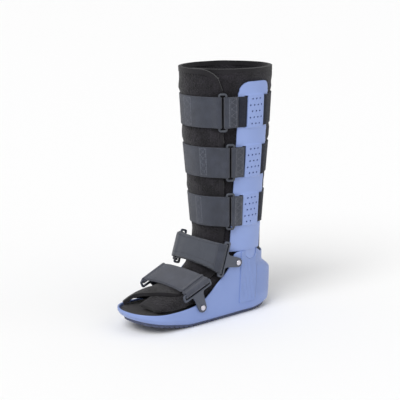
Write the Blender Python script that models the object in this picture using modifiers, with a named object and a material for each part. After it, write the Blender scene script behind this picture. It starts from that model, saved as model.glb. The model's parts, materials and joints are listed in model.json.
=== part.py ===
"""Tall walking boot: a moulded shell with two uprights, a padded liner and webbing straps.

Metres, +Z up. The origin is on the floor under the leg's axis, the toe points along -Y and the
side that carries the calf rings is +X.
"""
import math
from collections import namedtuple

import bmesh
import bpy
from mathutils import Vector

MM = 0.001

# Whole boot
BOOT_HEIGHT = 426 * MM          # floor to the rim of the liner
TOE_REACH = 209 * MM            # leg axis forward to the toe of the shell
HEEL_REACH = 93 * MM            # leg axis back to the heel of the shell
SEAM_HEIGHT = 115.5 * MM        # floor to the joint of shell and uprights
ANKLE_HEIGHT = 163 * MM         # floor to the narrowest part of the leg

# Leg section
ANKLE_HALF_WIDTH = 55 * MM
ANKLE_FRONT = 56 * MM           # leg axis forward to the front of the lap
ANKLE_BACK = 70.5 * MM
CALF_HALF_WIDTH = 72 * MM
CALF_FRONT = 76 * MM
CALF_BACK = 88 * MM

# Shell
HEEL_HALF_WIDTH = 47.3 * MM
TOE_HALF_WIDTH = 53.3 * MM
SHELL_WALL = 3.2 * MM
CUFF_REACH = 76 * MM            # leg axis back to the cuff above the heel ledge
LEDGE_HEIGHT = 68 * MM          # floor to the foot of the heel ledge
LEDGE_RISE = 20 * MM
TOE_RIM_HEIGHT = 35 * MM
FLOOR_HEIGHT = 26 * MM          # floor to the footbed
CUFF_DIP = 12 * MM              # how far the cuff dips at the back
CHANNEL_RELIEF = 1.5 * MM
CHANNEL_FOOT = 22 * MM
WALL_FLARE = 0.06               # outward lean of the walls, a slope

# Sole
SOLE_THICKNESS = 5 * MM
TOE_SPRING = 20.5 * MM          # rise of the rocker at the toe
HEEL_SPRING = 6 * MM            # rise of the rocker at the heel
FLAT_FRONT = 100 * MM           # leg axis forward to the start of the toe rocker
FLAT_BACK = 32 * MM             # leg axis back to the start of the heel rocker
TREAD_DEPTH = 2 * MM
TREAD_PITCH = 10 * MM
GROOVE_WIDTH = 3 * MM
INSOLE_THICKNESS = 6.5 * MM

# Uprights
UPRIGHT_TOP = 405 * MM
UPRIGHT_WIDTH = 61.5 * MM
UPRIGHT_CENTRE = 9.75 * MM      # behind the leg axis
UPRIGHT_THICKNESS = 3 * MM
FRONT_RAIL = 10 * MM
REAR_RAIL = 8 * MM
SLOT_WIDTH = 5.5 * MM
SLOT_PLAY = 1.4 * MM            # room in a slot above and below the webbing
BRIDGE_RELIEF = 2.6 * MM
FRONT_CORNER = 20 * MM
REAR_CORNER = 12 * MM
DOT_DIAMETER = 2.4 * MM
DOT_PITCH = 8 * MM
DOT_ROW_PITCH = 10.3 * MM
TONGUE_WIDTH = 27 * MM
TONGUE_CENTRE = 18.5 * MM       # behind the leg axis
CHANNEL_CENTRE = 15.5 * MM      # behind the leg axis
STEM_REACH = 26 * MM            # length of the hidden stem below the seam
STEM_THICKNESS = 1.8 * MM
STEM_WIDTH = 29 * MM

# Liner
LINER_WALL = 5 * MM
LAP_EDGE = 48                   # degrees from the front to the edge of the lap
LAP_CORNER = 35 * MM
TURN_STEP = 15                  # degrees between the liner's columns

# Webbing, rings and brackets
WEBBING_WIDTH = 50.8 * MM
WEBBING_THICKNESS = 1.8 * MM
STRAP_SPACING = 84 * MM
TOP_STRAP = 356 * MM            # floor to the middle of the top calf strap
BAR_RADIUS = 2 * MM
RING_WIDTH = 15.5 * MM
RING_SLACK = 6 * MM             # what a ring's opening is longer than the webbing is wide
TAB_LENGTH = 24 * MM
PAD_THICKNESS = 4 * MM
PAD_WIDTH = 50 * MM
BRACKET_THICKNESS = 3 * MM
BRACKET_BAR = 3.4 * MM
BRACKET_SLOT = 6.1 * MM
BRACKET_REACH = 35 * MM         # rivet to the middle of the bracket's loop
BRACKET_SPLAY = 3 * MM
EAR_RADIUS = 8.5 * MM
RIVET_RADIUS = 2.4 * MM
RIVET_HEAD_RADIUS = 4.6 * MM
RIVET_HEAD_RISE = 2.2 * MM

# Running clearances
GAP = 0.3 * MM
SOFT_GAP = 0.4 * MM
LINER_GAP = 0.7 * MM

LAP_RISE = LINER_WALL + SOFT_GAP
WRAP_RADIUS = BAR_RADIUS + SOFT_GAP + WEBBING_THICKNESS / 2 + 0.2 * MM
STRAP_LIFT = SOFT_GAP + WEBBING_THICKNESS / 2
LAYER = WEBBING_THICKNESS + SOFT_GAP
UPRIGHT_FRONT = UPRIGHT_CENTRE - UPRIGHT_WIDTH / 2
UPRIGHT_BACK = UPRIGHT_CENTRE + UPRIGHT_WIDTH / 2
BRIDGE_FRONT = UPRIGHT_FRONT + FRONT_RAIL + SLOT_WIDTH
BRIDGE_BACK = UPRIGHT_BACK - REAR_RAIL - SLOT_WIDTH
HEEL_ARC = 10 * MM              # where the flanks turn into the heel
TOE_ARC = TOE_HALF_WIDTH - TOE_REACH
SOLE_LINE = FLOOR_HEIGHT + GAP + INSOLE_THICKNESS + SOFT_GAP

LegRow = namedtuple("LegRow", "up spread")
# up: share of the height from ankle to rim; spread: share of the way from ankle to calf size
LEG = (
    LegRow(-0.18, -0.206),
    LegRow(0.0, 0.0),
    LegRow(0.23, 0.26),
    LegRow(0.60, 0.70),
    LegRow(1.0, 1.0),
)

WallRow = namedtuple("WallRow", "ahead rise")
# ahead: share of the toe reach; rise: share of the height from toe rim to seam
WALL_TOP = (
    WallRow(0.0, 1.0),
    WallRow(0.060, 1.0),
    WallRow(0.091, 0.96),
    WallRow(0.115, 0.83),
    WallRow(0.144, 0.70),
    WallRow(0.191, 0.57),
    WallRow(0.254, 0.435),
    WallRow(0.311, 0.305),
    WallRow(0.373, 0.175),
    WallRow(0.431, 0.095),
    WallRow(0.502, 0.037),
    WallRow(0.627, 0.0),
    WallRow(0.804, 0.0),
    WallRow(1.0, 0.03),
)

BendRow = namedtuple("BendRow", "front_ahead front_rise back_out back_rise square")
# front_ahead: share of the toe reach; front_rise: share of the seam height; back_out: share of the
# heel reach behind the axis, or of the toe reach (negative) ahead of it; back_rise: share of the
# height from sole line to seam; square: how square the lower half of the section is
BEND = (
    BendRow(0.261, 1.281, 0.761, 1.298, 2.0),
    BendRow(0.275, 1.126, 0.768, 0.982, 2.0),
    BendRow(0.289, 1.039, 0.768, 0.690, 2.0),
    BendRow(0.311, 0.952, 0.800, 0.397, 2.2),
    BendRow(0.330, 0.874, 0.800, 0.153, 2.4),
    BendRow(0.354, 0.805, 0.640, 0.007, 2.6),
    BendRow(0.383, 0.745, 0.269, 0.0, 3.0),
    BendRow(0.421, 0.688, -0.072, 0.0, 3.4),
    BendRow(0.464, 0.649, -0.278, 0.0, 3.8),
    BendRow(0.517, 0.615, -0.517, 0.0, 4.0),
)

VampRow = namedtuple("VampRow", "ahead rise")
# ahead: share of the toe reach; rise: share of the seam height at the top of the vamp
VAMP = (
    VampRow(0.517, 0.615),
    VampRow(0.612, 0.563),
    VampRow(0.718, 0.532),
    VampRow(0.823, 0.463),
    VampRow(0.890, 0.407),
    VampRow(0.960, 0.372),
)

FrontRow = namedtuple("FrontRow", "turn ahead")
# turn: degrees round the foot from its top, near side first; ahead: share of the toe reach
LINER_FRONT = (
    FrontRow(0, 0.861),
    FrontRow(60, 0.842),
    FrontRow(90, 0.804),
    FrontRow(130, 0.646),
    FrontRow(180, 0.585),
    FrontRow(230, 0.646),
    FrontRow(262, 0.790),
    FrontRow(276, 0.861),
    FrontRow(292, 0.885),
    FrontRow(310, 0.852),
    FrontRow(330, 0.813),
    FrontRow(360, 0.775),
    FrontRow(385, 0.699),
    FrontRow(410, 0.610),
)

StrapRow = namedtuple("StrapRow", "name ring_turn flap_turn")
# ring_turn and flap_turn: degrees from the front to the ring and to the end of the folded flap
CALF_STRAPS = (
    StrapRow("top", 48, -6),
    StrapRow("mid", 57, 16),
    StrapRow("low", 57, 4),
)

Ring = namedtuple("Ring", "front back width square")

# Bracket pivots on the shell, shares of the toe reach and of the seam height, and their lean
PivotRow = namedtuple("PivotRow", "name ahead rise lean shift")
PIVOTS = (
    PivotRow("instep", 0.062, 0.848, 17.5, 1.0),
    PivotRow("forefoot", 0.431, 0.290, 68.0, 0.0),
)

ArchRow = namedtuple("ArchRow", "edge ahead rise")
# Crest of each strap's edges: shares of the toe reach and of the seam height
INSTEP_CREST = (ArchRow("low", 0.340, 0.855), ArchRow("high", 0.268, 1.200))
FOREFOOT_CREST = (ArchRow("low", 0.605, 0.575), ArchRow("high", 0.395, 0.730))


def clear_scene():
    for item in list(bpy.data.objects):
        bpy.data.objects.remove(item, do_unlink=True)


def mix(first, last, share):
    return first + (last - first) * share


def smooth(share):
    share = min(max(share, 0.0), 1.0)
    return share * share * (3 - 2 * share)


def straight_read(rows, at):
    """Second column of a table at a value of its first, straight between the rows."""
    before = rows[0]
    for after in rows[1:]:
        if at <= after[0]:
            break
        before = after
    else:
        before, after = rows[-2], rows[-1]
    return mix(before[1], after[1], (at - before[0]) / (after[0] - before[0]))


def curve_read(rows, at):
    """Second column of a table at a value of its first, on a smooth curve through the rows."""
    last = len(rows) - 1
    span = 0
    while span < last - 1 and at > rows[span + 1][0]:
        span += 1
    slopes = []
    for i in (span, span + 1):
        low, high = max(i - 1, 0), min(i + 1, last)
        slopes.append((rows[high][1] - rows[low][1]) / (rows[high][0] - rows[low][0]))
    x0, y0, x1, y1 = rows[span][0], rows[span][1], rows[span + 1][0], rows[span + 1][1]
    width = x1 - x0
    s = (at - x0) / width
    if s < 0:
        return y0 + slopes[0] * (at - x0)
    if s > 1:
        return y1 + slopes[1] * (at - x1)
    return (
        y0 * (1 + 2 * s) * (1 - s) ** 2
        + slopes[0] * width * s * (1 - s) ** 2
        + y1 * s * s * (3 - 2 * s)
        + slopes[1] * width * s * s * (s - 1)
    )


def make_collection(name):
    group = bpy.data.collections.new(name)
    bpy.context.scene.collection.children.link(group)
    return group


def new_object(name, mesh, group):
    item = bpy.data.objects.new(name, mesh)
    group.objects.link(item)
    return item


def paint(item, colour, roughness, metallic=0.0):
    material = bpy.data.materials.new(item.name)
    material.use_nodes = True
    shader = material.node_tree.nodes["Principled BSDF"]
    shader.inputs["Base Color"].default_value = (*colour, 1.0)
    shader.inputs["Roughness"].default_value = roughness
    shader.inputs["Metallic"].default_value = metallic
    item.data.materials.clear()
    item.data.materials.append(material)


def grid_mesh(name, rows, keep=None):
    """Mesh with a face for each cell of a grid of points, apart from the cells that keep drops."""
    shape = bmesh.new()
    verts = [[shape.verts.new(point) for point in row] for row in rows]
    for i in range(len(rows) - 1):
        for j in range(len(rows[0]) - 1):
            if keep is None or keep(i, j):
                shape.faces.new((verts[i][j], verts[i][j + 1], verts[i + 1][j + 1], verts[i + 1][j]))
    loose = [vert for vert in shape.verts if not vert.link_faces]
    bmesh.ops.delete(shape, geom=loose, context="VERTS")
    bmesh.ops.remove_doubles(shape, verts=shape.verts, dist=0.00001)
    bmesh.ops.dissolve_degenerate(shape, edges=shape.edges, dist=0.00001)
    mesh = bpy.data.meshes.new(name)
    shape.to_mesh(mesh)
    shape.free()
    return mesh


def add_mirror(item):
    mirror = item.modifiers.new("other side", "MIRROR")
    mirror.use_axis = (True, False, False)
    mirror.merge_threshold = 0.00005
    mirror.use_clip = True


def add_wall(item, thickness, offset):
    wall = item.modifiers.new("wall", "SOLIDIFY")
    wall.thickness = thickness
    wall.offset = offset
    wall.use_even_offset = True


def add_boolean(item, name, operation, other):
    cut = item.modifiers.new(name, "BOOLEAN")
    cut.operation = operation
    cut.object = other
    cut.solver = "EXACT"


def hide_cutter(item):
    item.hide_render = True
    item.display_type = "WIRE"


def join_meshes(name, meshes, group):
    shape = bmesh.new()
    for mesh in meshes:
        shape.from_mesh(mesh)
    joined = bpy.data.meshes.new(name)
    shape.to_mesh(joined)
    shape.free()
    return new_object(name, joined, group)


def prism_mesh(name, outline, low, high):
    """Closed prism from a flat outline of (y, z) points, standing along X from low to high."""
    shape = bmesh.new()
    near = [shape.verts.new((low, y, z)) for y, z in outline]
    cap = shape.faces.new(near)
    pushed = bmesh.ops.extrude_face_region(shape, geom=[cap])["geom"]
    moved = [part for part in pushed if isinstance(part, bmesh.types.BMVert)]
    bmesh.ops.translate(shape, verts=moved, vec=(high - low, 0, 0))
    bmesh.ops.recalc_face_normals(shape, faces=shape.faces)
    mesh = bpy.data.meshes.new(name)
    shape.to_mesh(mesh)
    shape.free()
    return mesh


def rocker(y):
    """Height of the tread surface: flat under the arch, sprung at toe and heel."""
    if y < 0:
        past, reach, spring, ease = -y - FLAT_FRONT, TOE_REACH - FLAT_FRONT, TOE_SPRING, 20 * MM
    else:
        past, reach, spring, ease = y - FLAT_BACK, HEEL_REACH - FLAT_BACK, HEEL_SPRING, 12 * MM
    if past <= 0:
        return 0.0
    return spring * (math.hypot(past, ease) - ease) / (math.hypot(reach, ease) - ease)


def shell_bottom(y):
    return rocker(y) + SOLE_THICKNESS + GAP


def footbed(y):
    """Height of the shell's inner floor, which lifts where the toe springs."""
    return max(FLOOR_HEIGHT, shell_bottom(y) + SHELL_WALL)


def super_sine(angle, square):
    """Sine and cosine bent towards a square, for superellipse outlines."""
    s, c = math.sin(angle), math.cos(angle)
    power = 2 / square
    return math.copysign(abs(s) ** power, s), math.copysign(abs(c) ** power, c)


def shell_point(u, z, inset=0.0):
    """Point of the shell's outside: u is 0 at the back, 1 to 2 along the flank, 3 at the toe."""
    lean = WALL_FLARE * (z - SOLE_THICKNESS)
    if u <= 1:
        ledge = smooth((z - LEDGE_HEIGHT) / LEDGE_RISE)
        s, c = super_sine(u * math.pi / 2, mix(2.4, 2.0, ledge))
        back = mix(HEEL_REACH, CUFF_REACH, ledge) - HEEL_ARC - inset
        return Vector(((HEEL_HALF_WIDTH + lean - inset) * s, HEEL_ARC + back * c, z))
    if u <= 2:
        half = flank_half_width(mix(HEEL_ARC, TOE_ARC, u - 1), z)
        return Vector((half - inset, mix(HEEL_ARC, TOE_ARC, u - 1), z))
    s, c = super_sine((u - 2) * math.pi / 2, 2.15)
    reach = TOE_REACH + TOE_ARC - 2 * WALL_FLARE * (TOE_RIM_HEIGHT - z) - inset
    return Vector(((TOE_HALF_WIDTH + lean - inset) * c, TOE_ARC - reach * s, z))


def flank_half_width(y, z):
    share = min(max((HEEL_ARC - y) / (HEEL_ARC - TOE_ARC), 0.0), 1.0)
    floor = mix(HEEL_HALF_WIDTH, TOE_HALF_WIDTH, math.sin(share * math.pi / 2))
    return floor + WALL_FLARE * (z - SOLE_THICKNESS)


def inner_half_width(y, z):
    """Half width inside the shell at a place along the foot, the round toe included."""
    half = flank_half_width(y, z) - SHELL_WALL
    if y >= TOE_ARC:
        return half
    reach = TOE_REACH + TOE_ARC - SHELL_WALL
    share = min((TOE_ARC - y) / reach, 0.98)
    return half * math.sqrt(1 - share * share)


def wall_top(y):
    if y > 0:
        return SEAM_HEIGHT - CUFF_DIP * smooth((y - UPRIGHT_BACK) / (CUFF_REACH - UPRIGHT_BACK))
    return mix(TOE_RIM_HEIGHT, SEAM_HEIGHT, straight_read(WALL_TOP, -y / TOE_REACH))


def shell_columns():
    """Places round half of the shell, closer together where the wall's top edge bends."""
    heel = [i / 8 for i in range(8)]
    flank = [1.0, 1.09]
    for row in WALL_TOP[1:-2]:
        flank.append(1 + (HEEL_ARC + row.ahead * TOE_REACH) / (HEEL_ARC - TOE_ARC))
    flank.append(1.87)
    toe = [2 + i / 7 for i in range(8)]
    return heel + flank + toe


def settle(u, inset, height):
    """Point of the shell's outline at the height that a function gives for its own place."""
    point = shell_point(u, FLOOR_HEIGHT, inset)
    for _ in range(4):
        point = shell_point(u, height(point.y), inset)
    return point


def to_middle(row):
    """The same row on the plane of symmetry."""
    return [Vector((0, point.y, point.z)) for point in row]


def shell_half_rows(columns):
    """Rows of points from the keel, out and up the outside, over the edge and down the inside."""
    tops = [wall_top(shell_point(u, TOE_RIM_HEIGHT).y) for u in columns]
    rows = []
    for inset, rise in ((7 * MM, 0.0), (3 * MM, 2 * MM), (0.8 * MM, 6 * MM)):
        rows.append([settle(u, inset, lambda y: shell_bottom(y) + rise) for u in columns])
    rows.insert(0, to_middle(rows[0]))
    feet = [point.z for point in rows[-1]]
    for share in (0.18, 0.545, 0.635, 0.74, 1.0):
        rows.append([shell_point(u, mix(z, t, share), 0) for u, z, t in zip(columns, feet, tops)])
    inner = SHELL_WALL
    beds = [footbed(point.y) for point in rows[1]]
    for share in (1.0, 0.74, 0.545, 0.0):
        row = []
        for u, bed, top in zip(columns, beds, tops):
            row.append(shell_point(u, mix(bed + 2 * MM, top, share), inner))
        rows.append(row)
    rows.append([settle(u, inner + 1 * MM, footbed) for u in columns])
    rows.append(to_middle(rows[-1]))
    return rows


def cuff_half_width(y, z):
    """Half width of the shell's outside near the uprights, on both sides of the heel arc's start."""
    if y <= HEEL_ARC:
        return flank_half_width(y, z)
    ledge = smooth((z - LEDGE_HEIGHT) / LEDGE_RISE)
    square = mix(2.4, 2.0, ledge)
    back = mix(HEEL_REACH, CUFF_REACH, ledge) - HEEL_ARC
    half = HEEL_HALF_WIDTH + WALL_FLARE * (z - SOLE_THICKNESS)
    return half * (1 - ((y - HEEL_ARC) / back) ** square) ** (1 / square)


def wall_patches(name, half_width, low, high, offset):
    """Open patches along both walls at the channel, offset from the shell's outside."""
    rows = []
    for share in (0.0, 0.5, 1.0):
        z = mix(low, high, share)
        row = []
        for i in range(5):
            y = CHANNEL_CENTRE + mix(-half_width, half_width, i / 4)
            row.append(Vector((cuff_half_width(y, z) + offset, y, z)))
        rows.append(row)
    near = grid_mesh(name, rows)
    far = grid_mesh(name, rows)
    mirror_mesh(far)
    return near, far


def mirror_mesh(mesh):
    for vert in mesh.vertices:
        vert.co.x = -vert.co.x
    mesh.flip_normals()


def stem_offset():
    """How far the middle of the stem lies from the wall's outside, halfway through the channel."""
    return mix(-SHELL_WALL, CHANNEL_RELIEF, 0.5)


def tongue_outline(width, top):
    """U shape of the joint: straight sides and a round foot, as (y, z) points."""
    radius = width / 2
    points = [(TONGUE_CENTRE + radius, top), (TONGUE_CENTRE - radius, top)]
    for i in range(9):
        angle = math.pi + i * math.pi / 8
        y = TONGUE_CENTRE + radius * math.cos(angle)
        points.append((y, SEAM_HEIGHT - 2.5 * MM + radius * math.sin(angle)))
    return points


def build_shell(parts, cutters):
    mesh = grid_mesh("shell_base", shell_half_rows(shell_columns()))
    mesh.flip_normals()
    shell = new_object("shell_base", mesh, parts)
    add_mirror(shell)
    buried = SHELL_WALL / 2
    patches = wall_patches(
        "channel", STEM_WIDTH / 2 + 4.5 * MM, CHANNEL_FOOT, SEAM_HEIGHT, CHANNEL_RELIEF
    )
    channels = join_meshes("channels", patches, cutters)
    add_wall(channels, CHANNEL_RELIEF + buried, -1)
    hide_cutter(channels)
    add_boolean(shell, "channels", "UNION", channels)
    reach = CALF_HALF_WIDTH * 2
    notch = prism_mesh("notch", tongue_outline(TONGUE_WIDTH + 2 * GAP, BOOT_HEIGHT / 2), -reach, reach)
    holes = [notch] + [rivet_hole_mesh(row, reach) for row in PIVOTS]
    through = join_meshes("notch_and_rivet_holes", holes, cutters)
    hide_cutter(through)
    add_boolean(shell, "notch and rivet holes", "DIFFERENCE", through)
    patches = wall_patches(
        "pocket", STEM_WIDTH / 2 + GAP, SEAM_HEIGHT - STEM_REACH - GAP, SEAM_HEIGHT + 2 * MM,
        stem_offset(),
    )
    pockets = join_meshes("stem_pockets", patches, cutters)
    add_wall(pockets, STEM_THICKNESS + 2 * GAP, 0)
    hide_cutter(pockets)
    add_boolean(shell, "stem pockets", "DIFFERENCE", pockets)
    paint(shell, (0.27, 0.36, 0.64), 0.42)


def rivet_hole_mesh(row, reach):
    y, z = pivot_place(row)
    radius = RIVET_RADIUS + GAP
    outline = []
    for i in range(10):
        angle = i * math.pi / 5
        outline.append((y + radius * math.cos(angle), z + radius * math.sin(angle)))
    return prism_mesh("rivet_hole", outline, -reach, reach)


def tread_outline():
    """Side view of the sole: smooth on top, grooved underneath apart from the arch."""
    points = []
    front, back = -TOE_REACH, HEEL_REACH
    steps = 20
    for i in range(steps + 1):
        y = mix(back, front, i / steps)
        points.append((y, rocker(y) + SOLE_THICKNESS))
    blocks = int((back - front) / TREAD_PITCH)
    for i in range(blocks + 1):
        start = front + i * TREAD_PITCH
        end = min(start + TREAD_PITCH, back)
        points.append((start, rocker(start)))
        groove = end - GROOVE_WIDTH
        if groove <= start or abs(groove) < 2.5 * TREAD_PITCH or end == back:
            continue
        points.append((groove, rocker(groove)))
        points.append((groove, rocker(groove) + TREAD_DEPTH))
        points.append((end, rocker(end) + TREAD_DEPTH))
    points.append((back, rocker(back)))
    return points


def build_outsole(parts, cutters):
    tread = prism_mesh("outsole", tread_outline(), -TOE_HALF_WIDTH * 1.2, TOE_HALF_WIDTH * 1.2)
    outsole = new_object("outsole", tread, parts)
    inset = 8 * MM
    near = [shell_point(u, SOLE_THICKNESS, inset) for u in shell_columns()]
    far = [Vector((-p.x, p.y, p.z)) for p in reversed(near[1:-1])]
    shape = bmesh.new()
    ring = [shape.verts.new((p.x, p.y, -SOLE_THICKNESS)) for p in near + far]
    cap = shape.faces.new(ring)
    pushed = bmesh.ops.extrude_face_region(shape, geom=[cap])["geom"]
    moved = [part for part in pushed if isinstance(part, bmesh.types.BMVert)]
    bmesh.ops.translate(shape, verts=moved, vec=(0, 0, SEAM_HEIGHT))
    bmesh.ops.recalc_face_normals(shape, faces=shape.faces)
    mesh = bpy.data.meshes.new("sole_plan")
    shape.to_mesh(mesh)
    shape.free()
    plan = new_object("sole_plan", mesh, cutters)
    hide_cutter(plan)
    add_boolean(outsole, "plan", "INTERSECT", plan)
    paint(outsole, (0.10, 0.11, 0.14), 0.8)


def build_insole(parts):
    columns = [i / 5 for i in range(5)] + [mix(1, 2, i / 5) for i in range(5)]
    columns += [2 + i / 6 for i in range(7)]
    rows = []
    thick = INSOLE_THICKNESS
    for rise, inset in ((GAP, 1.4 * MM), (thick - 1.5 * MM, 1.4 * MM), (thick + GAP, 3 * MM)):
        rows.append([settle(u, SHELL_WALL + inset, lambda y: footbed(y) + rise) for u in columns])
    rows.insert(0, to_middle(rows[0]))
    rows.append(to_middle(rows[-1]))
    mesh = grid_mesh("insole", rows)
    mesh.flip_normals()
    insole = new_object("insole", mesh, parts)
    add_mirror(insole)
    paint(insole, (0.025, 0.022, 0.024), 0.9)


def leg_ring(z):
    """Section of the liner's outside across the leg, under the lap."""
    spread = curve_read(LEG, (z - ANKLE_HEIGHT) / (BOOT_HEIGHT - ANKLE_HEIGHT))
    front = mix(ANKLE_FRONT, CALF_FRONT, spread) - LAP_RISE
    back = mix(ANKLE_BACK, CALF_BACK, spread)
    width = mix(ANKLE_HALF_WIDTH, CALF_HALF_WIDTH, spread)
    return Ring(Vector((0, -front, z)), Vector((0, back, z)), width, 2.0)


def ring_point(ring, turn, lift=0.0):
    """Point of a section, turn degrees from its front towards +X, lifted off it by lift."""
    angle = math.radians(turn)
    middle = (ring.front + ring.back) / 2
    axis = (ring.front - ring.back) / 2
    square = 2.0 if math.cos(angle) >= 0 else ring.square
    s, c = super_sine(angle, square)
    out = Vector((math.sin(angle) / ring.width, 0, 0)) + axis * (math.cos(angle) / axis.length_squared)
    return middle + Vector((ring.width * s, 0, 0)) + axis * c + out.normalized() * lift


def leg_point(z, turn, lift=0.0):
    return ring_point(leg_ring(z), turn, lift)


def turn_at(z, y, side):
    """Turn at which the leg's section passes a place along Y, on the side +1 or -1."""
    ring = leg_ring(z)
    middle = (ring.front.y + ring.back.y) / 2
    half = (ring.back.y - ring.front.y) / 2
    return side * math.degrees(math.acos(min(max((middle - y) / half, -1.0), 1.0)))


def lap_lift(turn):
    """Lift of the lap over the leg's section, turn degrees from the front."""
    return LAP_RISE * smooth((turn + 60) / 50)


def bend_ring(row):
    """Section through ankle, heel and foot, fanned about the instep."""
    front = Vector((0, -row.front_ahead * TOE_REACH, row.front_rise * SEAM_HEIGHT))
    reach = HEEL_REACH if row.back_out > 0 else TOE_REACH
    back = Vector((0, row.back_out * reach, mix(SOLE_LINE, SEAM_HEIGHT, row.back_rise)))
    front += (back - front).normalized() * LAP_RISE
    middle = (front + back) / 2
    low = mix(middle.z, back.z, 0.5)
    width = min(leg_ring(middle.z).width, inner_half_width(middle.y, low) - LINER_GAP)
    return Ring(front, back, width, row.square)


def vamp_ring(y):
    top = curve_read(VAMP, -y / TOE_REACH) * SEAM_HEIGHT - LAP_RISE
    width = inner_half_width(y, SOLE_LINE) - LINER_GAP
    return Ring(Vector((0, y, top)), Vector((0, y, SOLE_LINE)), width, 4.0)


def liner_turns():
    count = int((LAP_EDGE + 360) / TURN_STEP)
    return [LAP_EDGE + 360 - TURN_STEP * (count - i) for i in range(count + 1)]


def sheet_lift(turn):
    """The liner is one wrapped sheet: past a whole turn it lies on its own inner end."""
    if turn < 180:
        return 0.0
    return lap_lift(turn - 360)


def rim_height(turn):
    past = (turn - 360 - LAP_EDGE + 28) / 28
    if past <= 0:
        return BOOT_HEIGHT
    return BOOT_HEIGHT - LAP_CORNER * (1 - math.sqrt(1 - min(past, 1.0) ** 2))


def liner_rows():
    turns = liner_turns()
    rows = []
    for share in (0.0, 0.08, 0.3, 0.55, 0.8, 1.0):
        row = []
        for turn in turns:
            z = mix(rim_height(turn), ANKLE_HEIGHT, share)
            row.append(leg_point(z, turn, sheet_lift(turn)))
        rows.append(row)
    for bend in BEND:
        ring = bend_ring(bend)
        rows.append([ring_point(ring, turn, sheet_lift(turn)) for turn in turns])
    start = -BEND[-1].front_ahead * TOE_REACH
    for share in (0.3, 0.6, 0.85, 1.0):
        row = []
        for turn in turns:
            y = mix(start, -straight_read(LINER_FRONT, turn) * TOE_REACH, share)
            row.append(ring_point(vamp_ring(y), turn, sheet_lift(turn)))
        rows.append(row)
    return rows


def build_liner(parts):
    mesh = grid_mesh("liner", liner_rows())
    mesh.flip_normals()
    liner = new_object("liner", mesh, parts)
    add_wall(liner, LINER_WALL, -1)
    paint(liner, (0.03, 0.028, 0.03), 0.95)


def upright_top(y):
    """Top edge of an upright, with its two unlike round corners."""
    front = y - UPRIGHT_FRONT
    back = UPRIGHT_BACK - y
    for distance, radius in ((front, FRONT_CORNER), (back, REAR_CORNER)):
        if distance < radius:
            return UPRIGHT_TOP - radius + math.sqrt(max(radius ** 2 - (radius - distance) ** 2, 0))
    return UPRIGHT_TOP


def strap_heights():
    return [TOP_STRAP - i * STRAP_SPACING for i in range(len(CALF_STRAPS))]


def upright_columns():
    columns = [UPRIGHT_FRONT, UPRIGHT_FRONT + 0.35 * FRONT_RAIL, UPRIGHT_FRONT + FRONT_RAIL]
    columns += [mix(BRIDGE_FRONT, BRIDGE_BACK, i / 3) for i in range(4)]
    columns += [UPRIGHT_BACK - REAR_RAIL, UPRIGHT_BACK - 0.3 * REAR_RAIL, UPRIGHT_BACK]
    return columns


def upright_levels():
    """Heights of an upright's rows, from the seam up to the foot of its rounded top."""
    slot = WEBBING_WIDTH / 2 + SLOT_PLAY
    ramp = slot + 4 * MM
    levels = [SEAM_HEIGHT + GAP, mix(SEAM_HEIGHT, strap_heights()[-1] - ramp, 0.55)]
    for height in reversed(strap_heights()):
        levels += [height - ramp, height - slot, height + slot, height + ramp]
    return levels


def upright_lift(y, z):
    """Height of the upright's outside over the liner: the bridges stand proud for the straps."""
    lift = SOFT_GAP + UPRIGHT_THICKNESS
    slot = WEBBING_WIDTH / 2 + SLOT_PLAY
    on_bridge = BRIDGE_FRONT - GAP < y < BRIDGE_BACK + GAP
    at_strap = any(abs(z - height) < slot + GAP for height in strap_heights())
    return lift + BRIDGE_RELIEF if on_bridge and at_strap else lift


def upright_mesh(name):
    columns = upright_columns()
    levels = upright_levels()
    rows = []
    for z in levels:
        rows.append([leg_point(z, turn_at(z, y, 1), upright_lift(y, z)) for y in columns])
    for share in (0.4, 0.75, 1.0):
        row = []
        for y in columns:
            z = mix(levels[-1], upright_top(y), share)
            row.append(leg_point(z, turn_at(z, y, 1), upright_lift(y, z)))
        rows.append(row)
    slot_columns = (2, len(columns) - 4)
    heights = strap_heights()

    def keep(i, j):
        if j not in slot_columns or i + 1 >= len(levels):
            return True
        middle = (levels[i] + levels[i + 1]) / 2
        return all(abs(middle - height) > WEBBING_WIDTH / 2 for height in heights)

    return grid_mesh(name, rows, keep)


def dot_mesh(side):
    """Cutter for the dots of one upright: rows of three and four on each bridge."""
    shape = bmesh.new()
    reach = CALF_HALF_WIDTH
    for height in strap_heights():
        for row in range(5):
            count = 3 + row % 2
            for place in range(count):
                y = UPRIGHT_CENTRE + 1 * MM + (place - (count - 1) / 2) * DOT_PITCH
                z = height + (2 - row) * DOT_ROW_PITCH
                made = bmesh.ops.create_cone(
                    shape, cap_ends=True, segments=4, radius1=DOT_DIAMETER / 2,
                    radius2=DOT_DIAMETER / 2, depth=reach,
                )["verts"]
                for vert in made:
                    x, up = vert.co.z, vert.co.x
                    vert.co = Vector((side * (reach + x), y + vert.co.y, z + up))
    bmesh.ops.recalc_face_normals(shape, faces=shape.faces)
    mesh = bpy.data.meshes.new("dots")
    shape.to_mesh(mesh)
    shape.free()
    return mesh


def tongue_mesh():
    """Tongue that fills the U notch; it stands in the thickness of the upright."""
    half = UPRIGHT_THICKNESS / 2 - 0.1 * MM
    mesh = prism_mesh("tongue", tongue_outline(TONGUE_WIDTH, SEAM_HEIGHT + 4 * MM), -half, half)
    lift = SOFT_GAP + UPRIGHT_THICKNESS / 2
    for vert in mesh.vertices:
        turn = turn_at(SEAM_HEIGHT, vert.co.y, 1)
        vert.co.x += leg_point(SEAM_HEIGHT, turn, lift).x
    return mesh


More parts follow.
